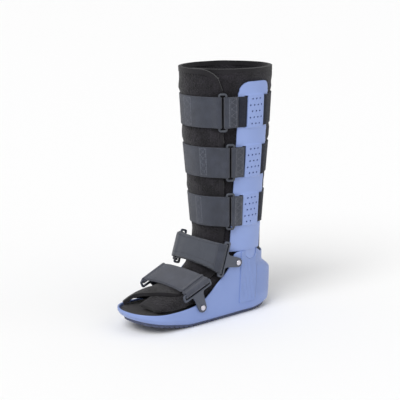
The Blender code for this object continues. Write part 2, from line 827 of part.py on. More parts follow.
def build_upright(name, side, parts, cutters):
    mesh = upright_mesh(name)
    tongue = tongue_mesh()
    if side < 0:
        mirror_mesh(mesh)
        mirror_mesh(tongue)
    upright = new_object(name, mesh, parts)
    add_wall(upright, UPRIGHT_THICKNESS, -1)
    foot = SEAM_HEIGHT - STEM_REACH
    patches = wall_patches("stem", STEM_WIDTH / 2, foot, SEAM_HEIGHT - 4 * MM, stem_offset())
    extras = [new_object(name + "_tongue", tongue, cutters)]
    extras.append(new_object(name + "_stem", patches[0 if side > 0 else 1], cutters))
    add_wall(extras[1], STEM_THICKNESS, 0)
    for extra in extras:
        hide_cutter(extra)
        add_boolean(upright, extra.name, "UNION", extra)
    dots = new_object(name + "_dots", dot_mesh(side), cutters)
    hide_cutter(dots)
    add_boolean(upright, "dots", "DIFFERENCE", dots)
    paint(upright, (0.29, 0.38, 0.66), 0.4)


def ring_frame(height, turn, lift):
    """Middle of a calf ring with its directions round, up and out of the leg."""
    middle = leg_point(height, turn, lift)
    span = 10 * MM
    up = (leg_point(height + span, turn, lift) - leg_point(height - span, turn, lift)).normalized()
    round_leg = (leg_point(height, turn + 3, lift) - leg_point(height, turn - 3, lift)).normalized()
    out = round_leg.cross(up).normalized()
    return middle, round_leg, up, out


def calf_base_lift(turn, rail_turn):
    """Lift of a calf strap's inner layer between the lap's edge and the upright's rail."""
    rail = SOFT_GAP + UPRIGHT_THICKNESS + STRAP_LIFT
    if turn <= LAP_EDGE:
        return lap_lift(turn) + STRAP_LIFT
    return mix(LAP_RISE + STRAP_LIFT, rail, min((turn - LAP_EDGE) / (rail_turn - LAP_EDGE), 1.0))


def calf_ring_lift(row, height):
    rail_turn = turn_at(height, UPRIGHT_FRONT, 1)
    return calf_base_lift(row.ring_turn, rail_turn) + WRAP_RADIUS


def bar_offset():
    return RING_WIDTH / 2 - BAR_RADIUS


def calf_wrap(frame, side):
    """Points of the webbing round one bar of a ring, from outside the ring to under it."""
    middle, round_leg, up, out = frame
    centre = middle + round_leg * side * bar_offset()
    pairs = []
    for i in range(6):
        angle = i * math.pi / 5
        point = centre + (out * math.cos(angle) - round_leg * side * math.sin(angle)) * WRAP_RADIUS
        pairs.append((point - up * WEBBING_WIDTH / 2, point + up * WEBBING_WIDTH / 2))
    return pairs


def calf_pair(height, turn, lift):
    """Lower and upper edge points of a calf strap at a turn."""
    low, high = height - WEBBING_WIDTH / 2, height + WEBBING_WIDTH / 2
    return leg_point(low, turn, lift), leg_point(high, turn, lift)


def calf_pair_at(height, y, side, lift):
    """Lower and upper edge points of a calf strap at a place along Y beside an upright."""
    pair = []
    for z in (height - WEBBING_WIDTH / 2, height + WEBBING_WIDTH / 2):
        pair.append(leg_point(z, turn_at(z, y, side), lift))
    return tuple(pair)


def rail_crossing(height, side):
    """Webbing over the front rail, behind the bridge and over the rear rail of one upright."""
    over = SOFT_GAP + UPRIGHT_THICKNESS + STRAP_LIFT + 0.15 * MM
    under = STRAP_LIFT + 0.1 * MM
    front_rail, rear_rail = UPRIGHT_FRONT + FRONT_RAIL, UPRIGHT_BACK - REAR_RAIL
    places = [(UPRIGHT_FRONT - 1 * MM, over), (front_rail - 0.5 * MM, over), (BRIDGE_FRONT + 0.5 * MM, under)]
    places += [(mix(BRIDGE_FRONT, BRIDGE_BACK, share), under) for share in (0.25, 0.5, 0.75)]
    places += [(BRIDGE_BACK - 0.5 * MM, under), (rear_rail + 0.5 * MM, over), (UPRIGHT_BACK, over)]
    return [calf_pair_at(height, y, side, lift) for y, lift in places]


def calf_path(row, height):
    """Edge points of one calf strap, from its sewn tab to the end of its folded flap."""
    rail_turn = turn_at(height, UPRIGHT_FRONT, 1)
    half_turn = math.degrees(bar_offset() / ((CALF_HALF_WIDTH + CALF_FRONT) / 2))
    frame = ring_frame(height, row.ring_turn, calf_ring_lift(row, height))
    near, far = row.ring_turn + half_turn, row.ring_turn - half_turn
    over = SOFT_GAP + UPRIGHT_THICKNESS + STRAP_LIFT + 0.15 * MM
    tab_turn = near + math.degrees(TAB_LENGTH / ((CALF_HALF_WIDTH + CALF_FRONT) / 2)) * 0.75
    path = []
    for turn in (tab_turn, mix(near, tab_turn, 0.5), near + 3):
        base = max(calf_base_lift(turn, rail_turn), over)
        rise = mix(WRAP_RADIUS * 2, LAYER, smooth((turn - near) / 9))
        path.append(calf_pair(height, turn, base + rise))
    path += calf_wrap(frame, 1)
    crossing = rail_crossing(height, 1)
    path += crossing if rail_turn > near + 2 else crossing[1:]
    leaving = turn_at(height, UPRIGHT_BACK, 1) + 6
    path += [calf_pair(height, turn, STRAP_LIFT) for turn in turns_between(leaving, 360 - leaving)]
    path += reversed(rail_crossing(height, -1))
    for turn in turns_between(3 - rail_turn, far - 3):
        path.append(calf_pair(height, turn, lap_lift(turn) + STRAP_LIFT))
    path += reversed(calf_wrap(frame, -1))
    for turn in reversed(turns_between(row.flap_turn, far - 3)):
        rise = mix(WRAP_RADIUS * 2, LAYER, smooth((far - turn) / 9))
        path.append(calf_pair(height, turn, calf_base_lift(turn, rail_turn) + rise))
    return path


def turns_between(first, last):
    """Both turns and the turns of the liner's columns between them, for webbing that lies on it."""
    columns = [turn % 360 for turn in liner_turns()] + [turn % 360 - 360 for turn in liner_turns()]
    inner = sorted({turn for turn in columns if first + 0.5 < turn < last - 0.5})
    return [first] + inner + [last]


def ribbon_object(name, path, parts):
    """Webbing along a list of edge point pairs."""
    low = [pair[0] for pair in path]
    high = [pair[1] for pair in path]
    ribbon = new_object(name, grid_mesh(name, [low, high]), parts)
    add_wall(ribbon, WEBBING_THICKNESS, 0)
    return ribbon


def wire_ring(name, corners, parts):
    """Closed wire loop through rounded corners, as a mesh."""
    curve = bpy.data.curves.new(name, "CURVE")
    curve.dimensions = "3D"
    curve.bevel_depth = BAR_RADIUS
    curve.bevel_resolution = 2
    spline = curve.splines.new("POLY")
    spline.points.add(len(corners) - 1)
    for point, place in zip(spline.points, corners):
        point.co = (*place, 1.0)
    spline.use_cyclic_u = True
    holder = bpy.data.objects.new(name, curve)
    parts.objects.link(holder)
    bpy.context.view_layer.update()
    ready = holder.evaluated_get(bpy.context.evaluated_depsgraph_get())
    mesh = bpy.data.meshes.new_from_object(ready)
    bpy.data.objects.remove(holder, do_unlink=True)
    return new_object(name, mesh, parts)


def build_calf_rings(parts):
    for row, height in zip(CALF_STRAPS, strap_heights()):
        middle, round_leg, up, out = ring_frame(height, row.ring_turn, calf_ring_lift(row, height))
        wide = bar_offset()
        tall = (WEBBING_WIDTH + RING_SLACK) / 2 + BAR_RADIUS
        corner = 3 * MM
        corners = []
        for a, b in ((1, 1), (-1, 1), (-1, -1), (1, -1)):
            for i in range(2):
                angle = i * math.pi / 2 if a * b > 0 else math.pi / 2 - i * math.pi / 2
                x = a * (wide - corner + corner * math.cos(angle))
                y = b * (tall - corner + corner * math.sin(angle))
                corners.append(middle + round_leg * x + up * y)
        ring = wire_ring("calf_ring_" + row.name, corners, parts)
        paint(ring, (0.06, 0.065, 0.075), 0.45)


def build_calf_straps(parts):
    for row, height in zip(CALF_STRAPS, strap_heights()):
        strap = ribbon_object("calf_strap_" + row.name, calf_path(row, height), parts)
        paint(strap, (0.065, 0.08, 0.10), 0.85)


def pivot_place(row):
    return -row.ahead * TOE_REACH, row.rise * SEAM_HEIGHT


def bracket_axes(row):
    """Directions from the rivet to the loop and along the loop, as (y, z)."""
    lean = math.radians(row.lean)
    return (-math.cos(lean), math.sin(lean)), (math.sin(lean), math.cos(lean))


def bracket_place(row, along, across, lift):
    """Point of a near bracket: along from the rivet to the loop, across the loop, out of the wall."""
    y, z = pivot_place(row)
    (ay, az), (cy, cz) = bracket_axes(row)
    splay = BRACKET_SPLAY * smooth((along - EAR_RADIUS) / (BRACKET_REACH - EAR_RADIUS))
    x = flank_half_width(y, z) + EAR_RADIUS * WALL_FLARE + GAP + lift + splay
    return Vector((x, y + along * ay + across * cy, z + along * az + across * cz))


def bracket_bar_along():
    return BRACKET_REACH + BRACKET_SLOT / 2 + BRACKET_BAR / 2


def rounded_box(low_a, high_a, low_b, high_b, radius, steps):
    """Rounded rectangle as a list of (a, b) points, anticlockwise."""
    points = []
    corners = ((high_a, high_b, 0), (low_a, high_b, 1), (low_a, low_b, 2), (high_a, low_b, 3))
    for a, b, quarter in corners:
        ca = a - radius if a == high_a else a + radius
        cb = b - radius if b == high_b else b + radius
        for i in range(steps + 1):
            angle = (quarter + i / steps) * math.pi / 2
            points.append((ca + radius * math.cos(angle), cb + radius * math.sin(angle)))
    return points


def bracket_outline(row):
    """Ear round the rivet, a neck that widens, and the loop's outside, anticlockwise."""
    half = (WEBBING_WIDTH + RING_SLACK) / 2 + BRACKET_BAR * 0.6
    near = BRACKET_REACH - BRACKET_SLOT / 2 - BRACKET_BAR
    far = BRACKET_REACH + BRACKET_SLOT / 2 + BRACKET_BAR
    loop = rounded_box(near, far, row.shift * MM - half, row.shift * MM + half, 3.2 * MM, 2)
    neck = 12 * MM
    split = 6
    points = loop[:split]
    points += [(near, neck), (near - 4 * MM, neck - 2.5 * MM)]
    for i in range(7):
        angle = math.radians(80 + i * 200 / 6)
        points.append((EAR_RADIUS * math.cos(angle), EAR_RADIUS * math.sin(angle)))
    points += [(near - 4 * MM, -neck + 0.5 * MM), (near, -neck - 2 * MM)]
    points += loop[split:]
    return points


def flat_curve_mesh(name, outlines, thickness):
    """Plate cut from flat closed outlines of (a, b) points: the first is the edge, the rest holes."""
    curve = bpy.data.curves.new(name, "CURVE")
    curve.dimensions = "2D"
    curve.fill_mode = "BOTH"
    curve.extrude = thickness / 2
    for outline in outlines:
        spline = curve.splines.new("POLY")
        spline.points.add(len(outline) - 1)
        for point, (a, b) in zip(spline.points, outline):
            point.co = (a, b, 0, 1)
        spline.use_cyclic_u = True
    holder = bpy.data.objects.new(name, curve)
    bpy.context.scene.collection.objects.link(holder)
    bpy.context.view_layer.update()
    ready = holder.evaluated_get(bpy.context.evaluated_depsgraph_get())
    mesh = bpy.data.meshes.new_from_object(ready)
    bpy.data.objects.remove(holder, do_unlink=True)
    shape = bmesh.new()
    shape.from_mesh(mesh)
    bmesh.ops.remove_doubles(shape, verts=shape.verts, dist=0.00001)
    bmesh.ops.recalc_face_normals(shape, faces=shape.faces)
    shape.to_mesh(mesh)
    shape.free()
    return mesh


def build_brackets(parts):
    for row in PIVOTS:
        half = (WEBBING_WIDTH + RING_SLACK) / 2 - BRACKET_BAR * 0.4
        slot = rounded_box(
            BRACKET_REACH - BRACKET_SLOT / 2, BRACKET_REACH + BRACKET_SLOT / 2,
            row.shift * MM - half, row.shift * MM + half, 1.5 * MM, 2,
        )
        hole = [
            ((RIVET_RADIUS + GAP) * math.cos(i * math.pi / 5), (RIVET_RADIUS + GAP) * math.sin(i * math.pi / 5))
            for i in range(10)
        ]
        for label, side in (("near", 1), ("far", -1)):
            name = row.name + "_bracket_" + label
            mesh = flat_curve_mesh(name, [bracket_outline(row), slot, hole], BRACKET_THICKNESS)
            for vert in mesh.vertices:
                place = bracket_place(row, vert.co.x, vert.co.y, vert.co.z + BRACKET_THICKNESS / 2)
                vert.co = Vector((side * place.x, place.y, place.z))
            shape = bmesh.new()
            shape.from_mesh(mesh)
            bmesh.ops.recalc_face_normals(shape, faces=shape.faces)
            shape.to_mesh(mesh)
            shape.free()
            bracket = new_object(name, mesh, parts)
            paint(bracket, (0.07, 0.08, 0.095), 0.5)


def build_rivets(parts):
    """Turned rivets: a low domed head outside the bracket and a shank through ear and wall."""
    for row in PIVOTS:
        y, z = pivot_place(row)
        wall = flank_half_width(y, z)
        outside = EAR_RADIUS * WALL_FLARE + GAP + BRACKET_THICKNESS + 2 * GAP
        shank = outside + SHELL_WALL * 0.8
        for label, side in (("near", 1), ("far", -1)):
            profile = [(0, RIVET_HEAD_RISE), (RIVET_HEAD_RADIUS * 0.55, RIVET_HEAD_RISE * 0.85)]
            profile += [(RIVET_HEAD_RADIUS, RIVET_HEAD_RISE * 0.25), (RIVET_HEAD_RADIUS, 0)]
            profile += [(RIVET_RADIUS, 0), (RIVET_RADIUS, -shank), (0, -shank)]
            shape = bmesh.new()
            verts = [shape.verts.new((radius, 0, rise)) for radius, rise in profile]
            for first, second in zip(verts, verts[1:]):
                shape.edges.new((first, second))
            mesh = bpy.data.meshes.new("rivet")
            shape.to_mesh(mesh)
            shape.free()
            rivet = new_object(row.name + "_rivet_" + label, mesh, parts)
            screw = rivet.modifiers.new("turn", "SCREW")
            screw.steps = 10
            screw.render_steps = 10
            screw.use_merge_vertices = True
            screw.merge_threshold = 0.00005
            rivet.rotation_euler = (0, side * math.pi / 2, 0)
            rivet.location = (side * (wall + outside), y, z)
            paint(rivet, (0.62, 0.62, 0.66), 0.3, 1.0)


def arch_ends(row, webbing):
    """Ends of a foot strap's low and high edge on its bracket's outer bar, near side."""
    along = bracket_bar_along()
    lift = BRACKET_THICKNESS / 2
    ends = []
    for across in (row.shift * MM - webbing / 2, row.shift * MM + webbing / 2):
        ends.append(bracket_place(row, along, across, lift))
    return ends


def foot_wrap_radius():
    bar = math.hypot(BRACKET_BAR, BRACKET_THICKNESS) / 2
    return bar + SOFT_GAP + WEBBING_THICKNESS / 2 + 0.3 * MM


def arch_point(end, crest, turn, lift):
    """Point of one edge of a foot strap: turn 0 at the near bar, 90 on top, 180 at the far bar."""
    bar_lift = STRAP_LIFT + foot_wrap_radius()
    half = end.x - bar_lift
    angle = math.radians(turn)
    rise = Vector((0, crest.y - end.y, crest.z - end.z))
    up = rise.normalized()
    out = Vector((math.cos(angle) / half, 0, 0)) + up * (math.sin(angle) / rise.length)
    base = Vector((half * math.cos(angle), end.y, end.z)) + rise * math.sin(angle)
    return base + out.normalized() * lift


def arch_wrap(pivot, end, side, steps=6):
    """Points round the outer bar, from the outside of the foot, under the bar to its inside."""
    up = Vector((0, *bracket_axes(pivot)[0]))
    centre = Vector((side * end.x, end.y, end.z))
    points = []
    for i in range(steps + 1):
        angle = i * math.pi / steps
        across = Vector((side, 0, 0)) * math.cos(angle)
        points.append(centre + (across - up * math.sin(angle)) * foot_wrap_radius())
    return points


def crest_of(row):
    return Vector((0, -row.ahead * TOE_REACH, row.rise * SEAM_HEIGHT))


def foot_strap_pairs(pivot, crests, parts_of_path):
    """Edge point pairs of a foot strap from stretches of (turn, lift) rows and bar wraps."""
    ends = arch_ends(pivot, WEBBING_WIDTH)
    edges = []
    for end, crest_row in zip(ends, crests):
        crest = crest_of(crest_row)
        edge = []
        for kind, value in parts_of_path:
            if kind == "wrap":
                edge += arch_wrap(pivot, end, value)
            elif kind == "wrap back":
                edge += reversed(arch_wrap(pivot, end, value))
            else:
                edge += [arch_point(end, crest, turn, lift) for turn, lift in value]
        edges.append(edge)
    return list(zip(*edges))


def stretch(first, last, count, lift):
    """Rows of (turn, lift) between two turns, with lift worked out by a function of the turn."""
    turns = [mix(first, last, i / (count - 1)) for i in range(count)]
    return [(turn, lift(turn)) for turn in turns]


def build_instep(parts):
    """Instep strap, held round both bars, and the padded cover sewn over it."""
    pivot = PIVOTS[0]
    outer = STRAP_LIFT + 2 * foot_wrap_radius()
    stitched = STRAP_LIFT + PAD_THICKNESS + 3 * SOFT_GAP + WEBBING_THICKNESS

    def near_tail(turn):
        return mix(outer, stitched, smooth(turn / 12))

    def far_tail(turn):
        return mix(outer, STRAP_LIFT + LAYER, smooth((180 - turn) / 14))

    path = [("run", stretch(20, 3, 4, near_tail)), ("wrap", 1)]
    path += [("run", stretch(3, 177, 17, lambda turn: STRAP_LIFT)), ("wrap back", -1)]
    path += [("run", stretch(177, 146, 5, far_tail))]
    strap = ribbon_object("instep_strap", foot_strap_pairs(pivot, INSTEP_CREST, path), parts)
    paint(strap, (0.065, 0.08, 0.10), 0.85)
    low = STRAP_LIFT + WEBBING_THICKNESS / 2 + 2 * SOFT_GAP + PAD_THICKNESS / 2

    def pad_lift(turn):
        return low + LAYER * smooth((turn - 128) / 14)

    ends = arch_ends(pivot, PAD_WIDTH)
    crests = [crest_of(row) for row in INSTEP_CREST]
    rows = [[], [], [], []]
    start, finish, corner = 6, 165, 13
    for turn, lift in stretch(start, finish, 17, pad_lift):
        past = max((turn - (finish - corner)) / corner, 0.0)
        tuck = 0.28 * (1 - math.sqrt(1 - min(past, 1.0) ** 2))
        first = arch_point(ends[0], crests[0], turn, lift)
        last = arch_point(ends[1], crests[1], turn, lift)
        for row, share in zip(rows, (tuck, mix(tuck, 1 - tuck, 0.33), mix(tuck, 1 - tuck, 0.67), 1 - tuck)):
            row.append(first.lerp(last, share))
    pad = new_object("instep_pad", grid_mesh("instep_pad", rows), parts)
    add_wall(pad, PAD_THICKNESS, 0)
    paint(pad, (0.075, 0.085, 0.10), 0.85)


def build_forefoot_strap(parts):
    """Forefoot strap: a tab round the near bar, across the foot, round the far bar and back."""
    pivot = PIVOTS[1]
    outer = STRAP_LIFT + 2 * foot_wrap_radius()
    tab_turn = 26

    def main_lift(turn):
        over_tab = mix(outer, STRAP_LIFT + LAYER, smooth(turn / 12))
        return mix(over_tab, STRAP_LIFT, smooth((turn - tab_turn - 3) / 9))

    def flap_lift(turn):
        near = mix(STRAP_LIFT + 2 * LAYER, STRAP_LIFT + LAYER, smooth((turn - tab_turn - 3) / 9))
        return max(near, mix(outer, STRAP_LIFT + LAYER, smooth((180 - turn) / 14)))

    path = [("run", stretch(tab_turn, 3, 4, lambda turn: STRAP_LIFT)), ("wrap back", 1)]
    path += [("run", stretch(3, 177, 18, main_lift)), ("wrap back", -1)]
    path += [("run", stretch(177, 24, 16, flap_lift))]
    pairs = foot_strap_pairs(pivot, FOREFOOT_CREST, path)
    strap = ribbon_object("forefoot_strap", pairs, parts)
    paint(strap, (0.09, 0.095, 0.12), 0.85)


def build():
    clear_scene()
    parts = make_collection("walking_boot")
    cutters = make_collection("cutters")
    build_shell(parts, cutters)
    build_outsole(parts, cutters)
    build_insole(parts)
    build_liner(parts)
    build_upright("upright_near", 1, parts, cutters)
    build_upright("upright_far", -1, parts, cutters)
    build_calf_rings(parts)
    build_calf_straps(parts)
    build_brackets(parts)
    build_rivets(parts)
    build_instep(parts)
    build_forefoot_strap(parts)


build()
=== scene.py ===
"""Looks of a tall walking boot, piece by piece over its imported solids, in metres."""
import json
import math
from collections import namedtuple

import bmesh
import bpy
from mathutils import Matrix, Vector, noise

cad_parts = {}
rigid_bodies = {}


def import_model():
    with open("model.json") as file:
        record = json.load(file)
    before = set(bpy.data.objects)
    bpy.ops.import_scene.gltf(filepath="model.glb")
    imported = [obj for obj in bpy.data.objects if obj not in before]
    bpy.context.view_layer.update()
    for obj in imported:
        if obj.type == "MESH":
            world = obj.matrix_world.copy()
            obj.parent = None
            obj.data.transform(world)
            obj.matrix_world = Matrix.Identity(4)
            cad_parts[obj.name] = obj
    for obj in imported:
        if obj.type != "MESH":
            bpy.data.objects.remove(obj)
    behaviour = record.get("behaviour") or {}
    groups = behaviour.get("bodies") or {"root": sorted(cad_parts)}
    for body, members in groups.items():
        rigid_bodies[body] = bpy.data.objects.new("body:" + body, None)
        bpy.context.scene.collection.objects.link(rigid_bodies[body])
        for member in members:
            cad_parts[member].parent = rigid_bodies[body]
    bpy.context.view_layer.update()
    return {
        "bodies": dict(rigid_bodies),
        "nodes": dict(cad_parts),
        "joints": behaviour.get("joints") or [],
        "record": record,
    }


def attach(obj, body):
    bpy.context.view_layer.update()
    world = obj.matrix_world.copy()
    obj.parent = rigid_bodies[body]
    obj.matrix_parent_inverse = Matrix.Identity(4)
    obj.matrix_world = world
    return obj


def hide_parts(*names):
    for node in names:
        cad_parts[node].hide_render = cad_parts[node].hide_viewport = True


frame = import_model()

# Shell
# The moulded foot shell: side walls, a squared heel with a ledge, a raised channel on each side
# for the upright's stem, and a U notch above it. Injection-moulded nylon in a soft blue.
MM = 0.001
BOOT_HEIGHT = 426 * MM
TOE_REACH = 209 * MM
HEEL_REACH = 93 * MM
SEAM_HEIGHT = 115.5 * MM
ANKLE_HEIGHT = 163 * MM
HEEL_HALF_WIDTH = 47.3 * MM
TOE_HALF_WIDTH = 53.3 * MM
SHELL_WALL = 3.2 * MM
CUFF_REACH = 76 * MM
LEDGE_HEIGHT = 68 * MM
LEDGE_RISE = 20 * MM
TOE_RIM_HEIGHT = 35 * MM
FLOOR_HEIGHT = 26 * MM
CUFF_DIP = 12 * MM
CHANNEL_RELIEF = 1.5 * MM
CHANNEL_FOOT = 22 * MM
WALL_FLARE = 0.06
SOLE_THICKNESS = 5 * MM
TOE_SPRING = 20.5 * MM
HEEL_SPRING = 6 * MM
FLAT_FRONT = 100 * MM
FLAT_BACK = 32 * MM
UPRIGHT_WIDTH = 61.5 * MM
UPRIGHT_CENTRE = 9.75 * MM
TONGUE_WIDTH = 27 * MM
TONGUE_CENTRE = 18.5 * MM
CHANNEL_CENTRE = 15.5 * MM
STEM_WIDTH = 29 * MM
RIVET_RADIUS = 2.4 * MM
GAP = 0.3 * MM
HEEL_ARC = 10 * MM
TOE_ARC = TOE_HALF_WIDTH - TOE_REACH
MERGE = 0.01 * MM
UPRIGHT_FRONT = UPRIGHT_CENTRE - UPRIGHT_WIDTH / 2
UPRIGHT_BACK = UPRIGHT_CENTRE + UPRIGHT_WIDTH / 2

WallRow = namedtuple("WallRow", "ahead rise")
WALL_TOP = [WallRow(*row) for row in (
    (0.0, 1.0), (0.060, 1.0), (0.091, 0.96), (0.115, 0.83), (0.144, 0.70), (0.191, 0.57),
    (0.254, 0.435), (0.311, 0.305), (0.373, 0.175), (0.431, 0.095), (0.502, 0.037), (0.627, 0.0),
    (0.804, 0.0), (1.0, 0.03),
)]

PivotRow = namedtuple("PivotRow", "name ahead rise lean shift")
PIVOTS = (
    PivotRow("instep", 0.062, 0.848, 17.5, 1.0),
    PivotRow("forefoot", 0.431, 0.290, 68.0, 0.0),
)


def srgb(code):
    """Linear colour of an sRGB hex value."""
    parts = [int(code[i:i + 2], 16) / 255 for i in (1, 3, 5)]
    return [p / 12.92 if p <= 0.04045 else ((p + 0.055) / 1.055) ** 2.4 for p in parts] + [1.0]


def add_node(tree, kind, settings=None, links=None):
    """Node with its settings, by attribute or input, and its links from other nodes' outputs."""
    node = tree.nodes.new(kind)
    for key, value in (settings or {}).items():
        if isinstance(key, str) and hasattr(node, key):
            setattr(node, key, value)
        else:
            node.inputs[key].default_value = value
    for key, source in (links or {}).items():
        tree.links.new(source, node.inputs[key])
    return node


def new_material(name, colour, roughness, **inputs):
    """Material with its node tree, its shader and the coordinates of the object."""
    material = bpy.data.materials.new(name)
    material.use_nodes = True
    tree = material.node_tree
    shader = tree.nodes["Principled BSDF"]
    shader.inputs["Base Color"].default_value = srgb(colour)
    shader.inputs["Roughness"].default_value = roughness
    for key, value in inputs.items():
        shader.inputs[key.replace("_", " ")].default_value = value
    return material, tree, shader, add_node(tree, "ShaderNodeTexCoord").outputs["Object"]


def grain(tree, place, scale, detail=3.0):
    """Fractal noise; its scale is one over its size in metres."""
    return add_node(
        tree, "ShaderNodeTexNoise", {"Scale": float(scale), "Detail": detail}, {"Vector": place}
    ).outputs["Fac"]


def sum_up(tree, operation, first, second, third=None):
    """Arithmetic on sockets or numbers."""
    settings = {"operation": operation}
    links = {}
    for index, value in enumerate((first, second, third)):
        if isinstance(value, (int, float)):
            settings[index] = value
        elif value:
            links[index] = value
    return add_node(tree, "ShaderNodeMath", settings, links).outputs[0]


def tint(tree, shader, share, dark, light):
    """Colours the shader from dark to light by a share."""
    settings = {"data_type": "RGBA", "clamp_factor": True, 6: srgb(dark), 7: srgb(light)}
    blend = add_node(tree, "ShaderNodeMix", settings, {0: share})
    tree.links.new(blend.outputs[2], shader.inputs["Base Color"])


def emboss(tree, shader, height, strength, distance, invert=False):
    """Bumps the shader's face by a height, on top of the bumps that it already has."""
    links = {"Height": height}
    if shader.inputs["Normal"].is_linked:
        links["Normal"] = shader.inputs["Normal"].links[0].from_socket
    settings = {"Strength": strength, "Distance": distance, "invert": invert}
    bump = add_node(tree, "ShaderNodeBump", settings, links)
    tree.links.new(bump.outputs["Normal"], shader.inputs["Normal"])


def mix(first, last, share):
    return first + (last - first) * share


def smooth(share):
    share = min(max(share, 0.0), 1.0)
    return share * share * (3 - 2 * share)


def straight_read(rows, at):
    """Second column of a table at a value of its first, straight between the rows."""
    before = rows[0]
    for after in rows[1:]:
        if at <= after[0]:
            break
        before = after
    else:
        before, after = rows[-2], rows[-1]
    return mix(before[1], after[1], (at - before[0]) / (after[0] - before[0]))


def curve_read(rows, at):
    """Second column of a table at a value of its first, on a smooth curve through the rows."""
    last = len(rows) - 1
    span = 0
    while span < last - 1 and at > rows[span + 1][0]:
        span += 1
    slopes = []
    for i in (span, span + 1):
        low, high = max(i - 1, 0), min(i + 1, last)
        slopes.append((rows[high][1] - rows[low][1]) / (rows[high][0] - rows[low][0]))
    x0, y0, x1, y1 = rows[span][0], rows[span][1], rows[span + 1][0], rows[span + 1][1]
    width = x1 - x0
    s = (at - x0) / width
    if s < 0:
        return y0 + slopes[0] * (at - x0)
    if s > 1:
        return y1 + slopes[1] * (at - x1)
    return (
        y0 * (1 + 2 * s) * (1 - s) ** 2
        + slopes[0] * width * s * (1 - s) ** 2
        + y1 * s * s * (3 - 2 * s)
        + slopes[1] * width * s * s * (s - 1)
    )


def rocker(y):
    """Height of the tread surface: flat under the arch, sprung at toe and heel."""
    if y < 0:
        past, reach, spring, ease = -y - FLAT_FRONT, TOE_REACH - FLAT_FRONT, TOE_SPRING, 20 * MM
    else:
        past, reach, spring, ease = y - FLAT_BACK, HEEL_REACH - FLAT_BACK, HEEL_SPRING, 12 * MM
    if past <= 0:
        return 0.0
    return spring * (math.hypot(past, ease) - ease) / (math.hypot(reach, ease) - ease)


def shell_bottom(y):
    return rocker(y) + SOLE_THICKNESS + GAP


def footbed(y):
    """Height of the shell's inner floor, which lifts where the toe springs."""
    return max(FLOOR_HEIGHT, shell_bottom(y) + SHELL_WALL)


def super_sine(angle, square):
    """Sine and cosine bent towards a square, for superellipse outlines."""
    s, c = math.sin(angle), math.cos(angle)
    power = 2 / square
    return math.copysign(abs(s) ** power, s), math.copysign(abs(c) ** power, c)


def shell_point(u, z, inset=0.0):
    """Point of the shell's outside: u is 0 at the back, 1 to 2 along the flank, 3 at the toe."""
    lean = WALL_FLARE * (z - SOLE_THICKNESS)
    if u <= 1:
        ledge = smooth((z - LEDGE_HEIGHT) / LEDGE_RISE)
        s, c = super_sine(u * math.pi / 2, mix(2.4, 2.0, ledge))
        back = mix(HEEL_REACH, CUFF_REACH, ledge) - HEEL_ARC - inset
        return Vector(((HEEL_HALF_WIDTH + lean - inset) * s, HEEL_ARC + back * c, z))
    if u <= 2:
        half = flank_half_width(mix(HEEL_ARC, TOE_ARC, u - 1), z)
        return Vector((half - inset, mix(HEEL_ARC, TOE_ARC, u - 1), z))
    s, c = super_sine((u - 2) * math.pi / 2, 2.15)
    reach = TOE_REACH + TOE_ARC - 2 * WALL_FLARE * (TOE_RIM_HEIGHT - z) - inset
    return Vector(((TOE_HALF_WIDTH + lean - inset) * c, TOE_ARC - reach * s, z))


def flank_half_width(y, z):
    share = min(max((HEEL_ARC - y) / (HEEL_ARC - TOE_ARC), 0.0), 1.0)
    floor = mix(HEEL_HALF_WIDTH, TOE_HALF_WIDTH, math.sin(share * math.pi / 2))
    return floor + WALL_FLARE * (z - SOLE_THICKNESS)


def inner_half_width(y, z):
    """Half width inside the shell at a place along the foot, the round toe included."""
    half = flank_half_width(y, z) - SHELL_WALL
    if y >= TOE_ARC:
        return half
    reach = TOE_REACH + TOE_ARC - SHELL_WALL
    share = min((TOE_ARC - y) / reach, 0.98)
    return half * math.sqrt(1 - share * share)


def cuff_half_width(y, z):
    """Half width of the shell's outside near the uprights, on both sides of the heel arc's start."""
    if y <= HEEL_ARC:
        return flank_half_width(y, z)
    ledge = smooth((z - LEDGE_HEIGHT) / LEDGE_RISE)
    square = mix(2.4, 2.0, ledge)
    back = mix(HEEL_REACH, CUFF_REACH, ledge) - HEEL_ARC
    half = HEEL_HALF_WIDTH + WALL_FLARE * (z - SOLE_THICKNESS)
    return half * (1 - ((y - HEEL_ARC) / back) ** square) ** (1 / square)


def pivot_place(row):
    return -row.ahead * TOE_REACH, row.rise * SEAM_HEIGHT


def settle(u, inset, height):
    """Point of the shell's outline at the height that a function gives for its own place."""
    point = shell_point(u, FLOOR_HEIGHT, inset)
    for _ in range(4):
        point = shell_point(u, height(point.y), inset)
    return point


def to_middle(row):
    """The same row on the plane of symmetry."""
    return [Vector((0, point.y, point.z)) for point in row]


def wall_top(y):
    if y > 0:
        return SEAM_HEIGHT - CUFF_DIP * smooth((y - UPRIGHT_BACK) / (CUFF_REACH - UPRIGHT_BACK))
    ahead = -y / TOE_REACH
    read = straight_read if ahead < WALL_TOP[2].ahead else curve_read
    return mix(TOE_RIM_HEIGHT, SEAM_HEIGHT, read(WALL_TOP, ahead))


def new_item(name, shape):
    """Item with the mesh of a bmesh, which is used up."""
    mesh = bpy.data.meshes.new(name)
    shape.to_mesh(mesh)
    shape.free()
    item = bpy.data.objects.new(name, mesh)
    bpy.context.scene.collection.objects.link(item)
    return item


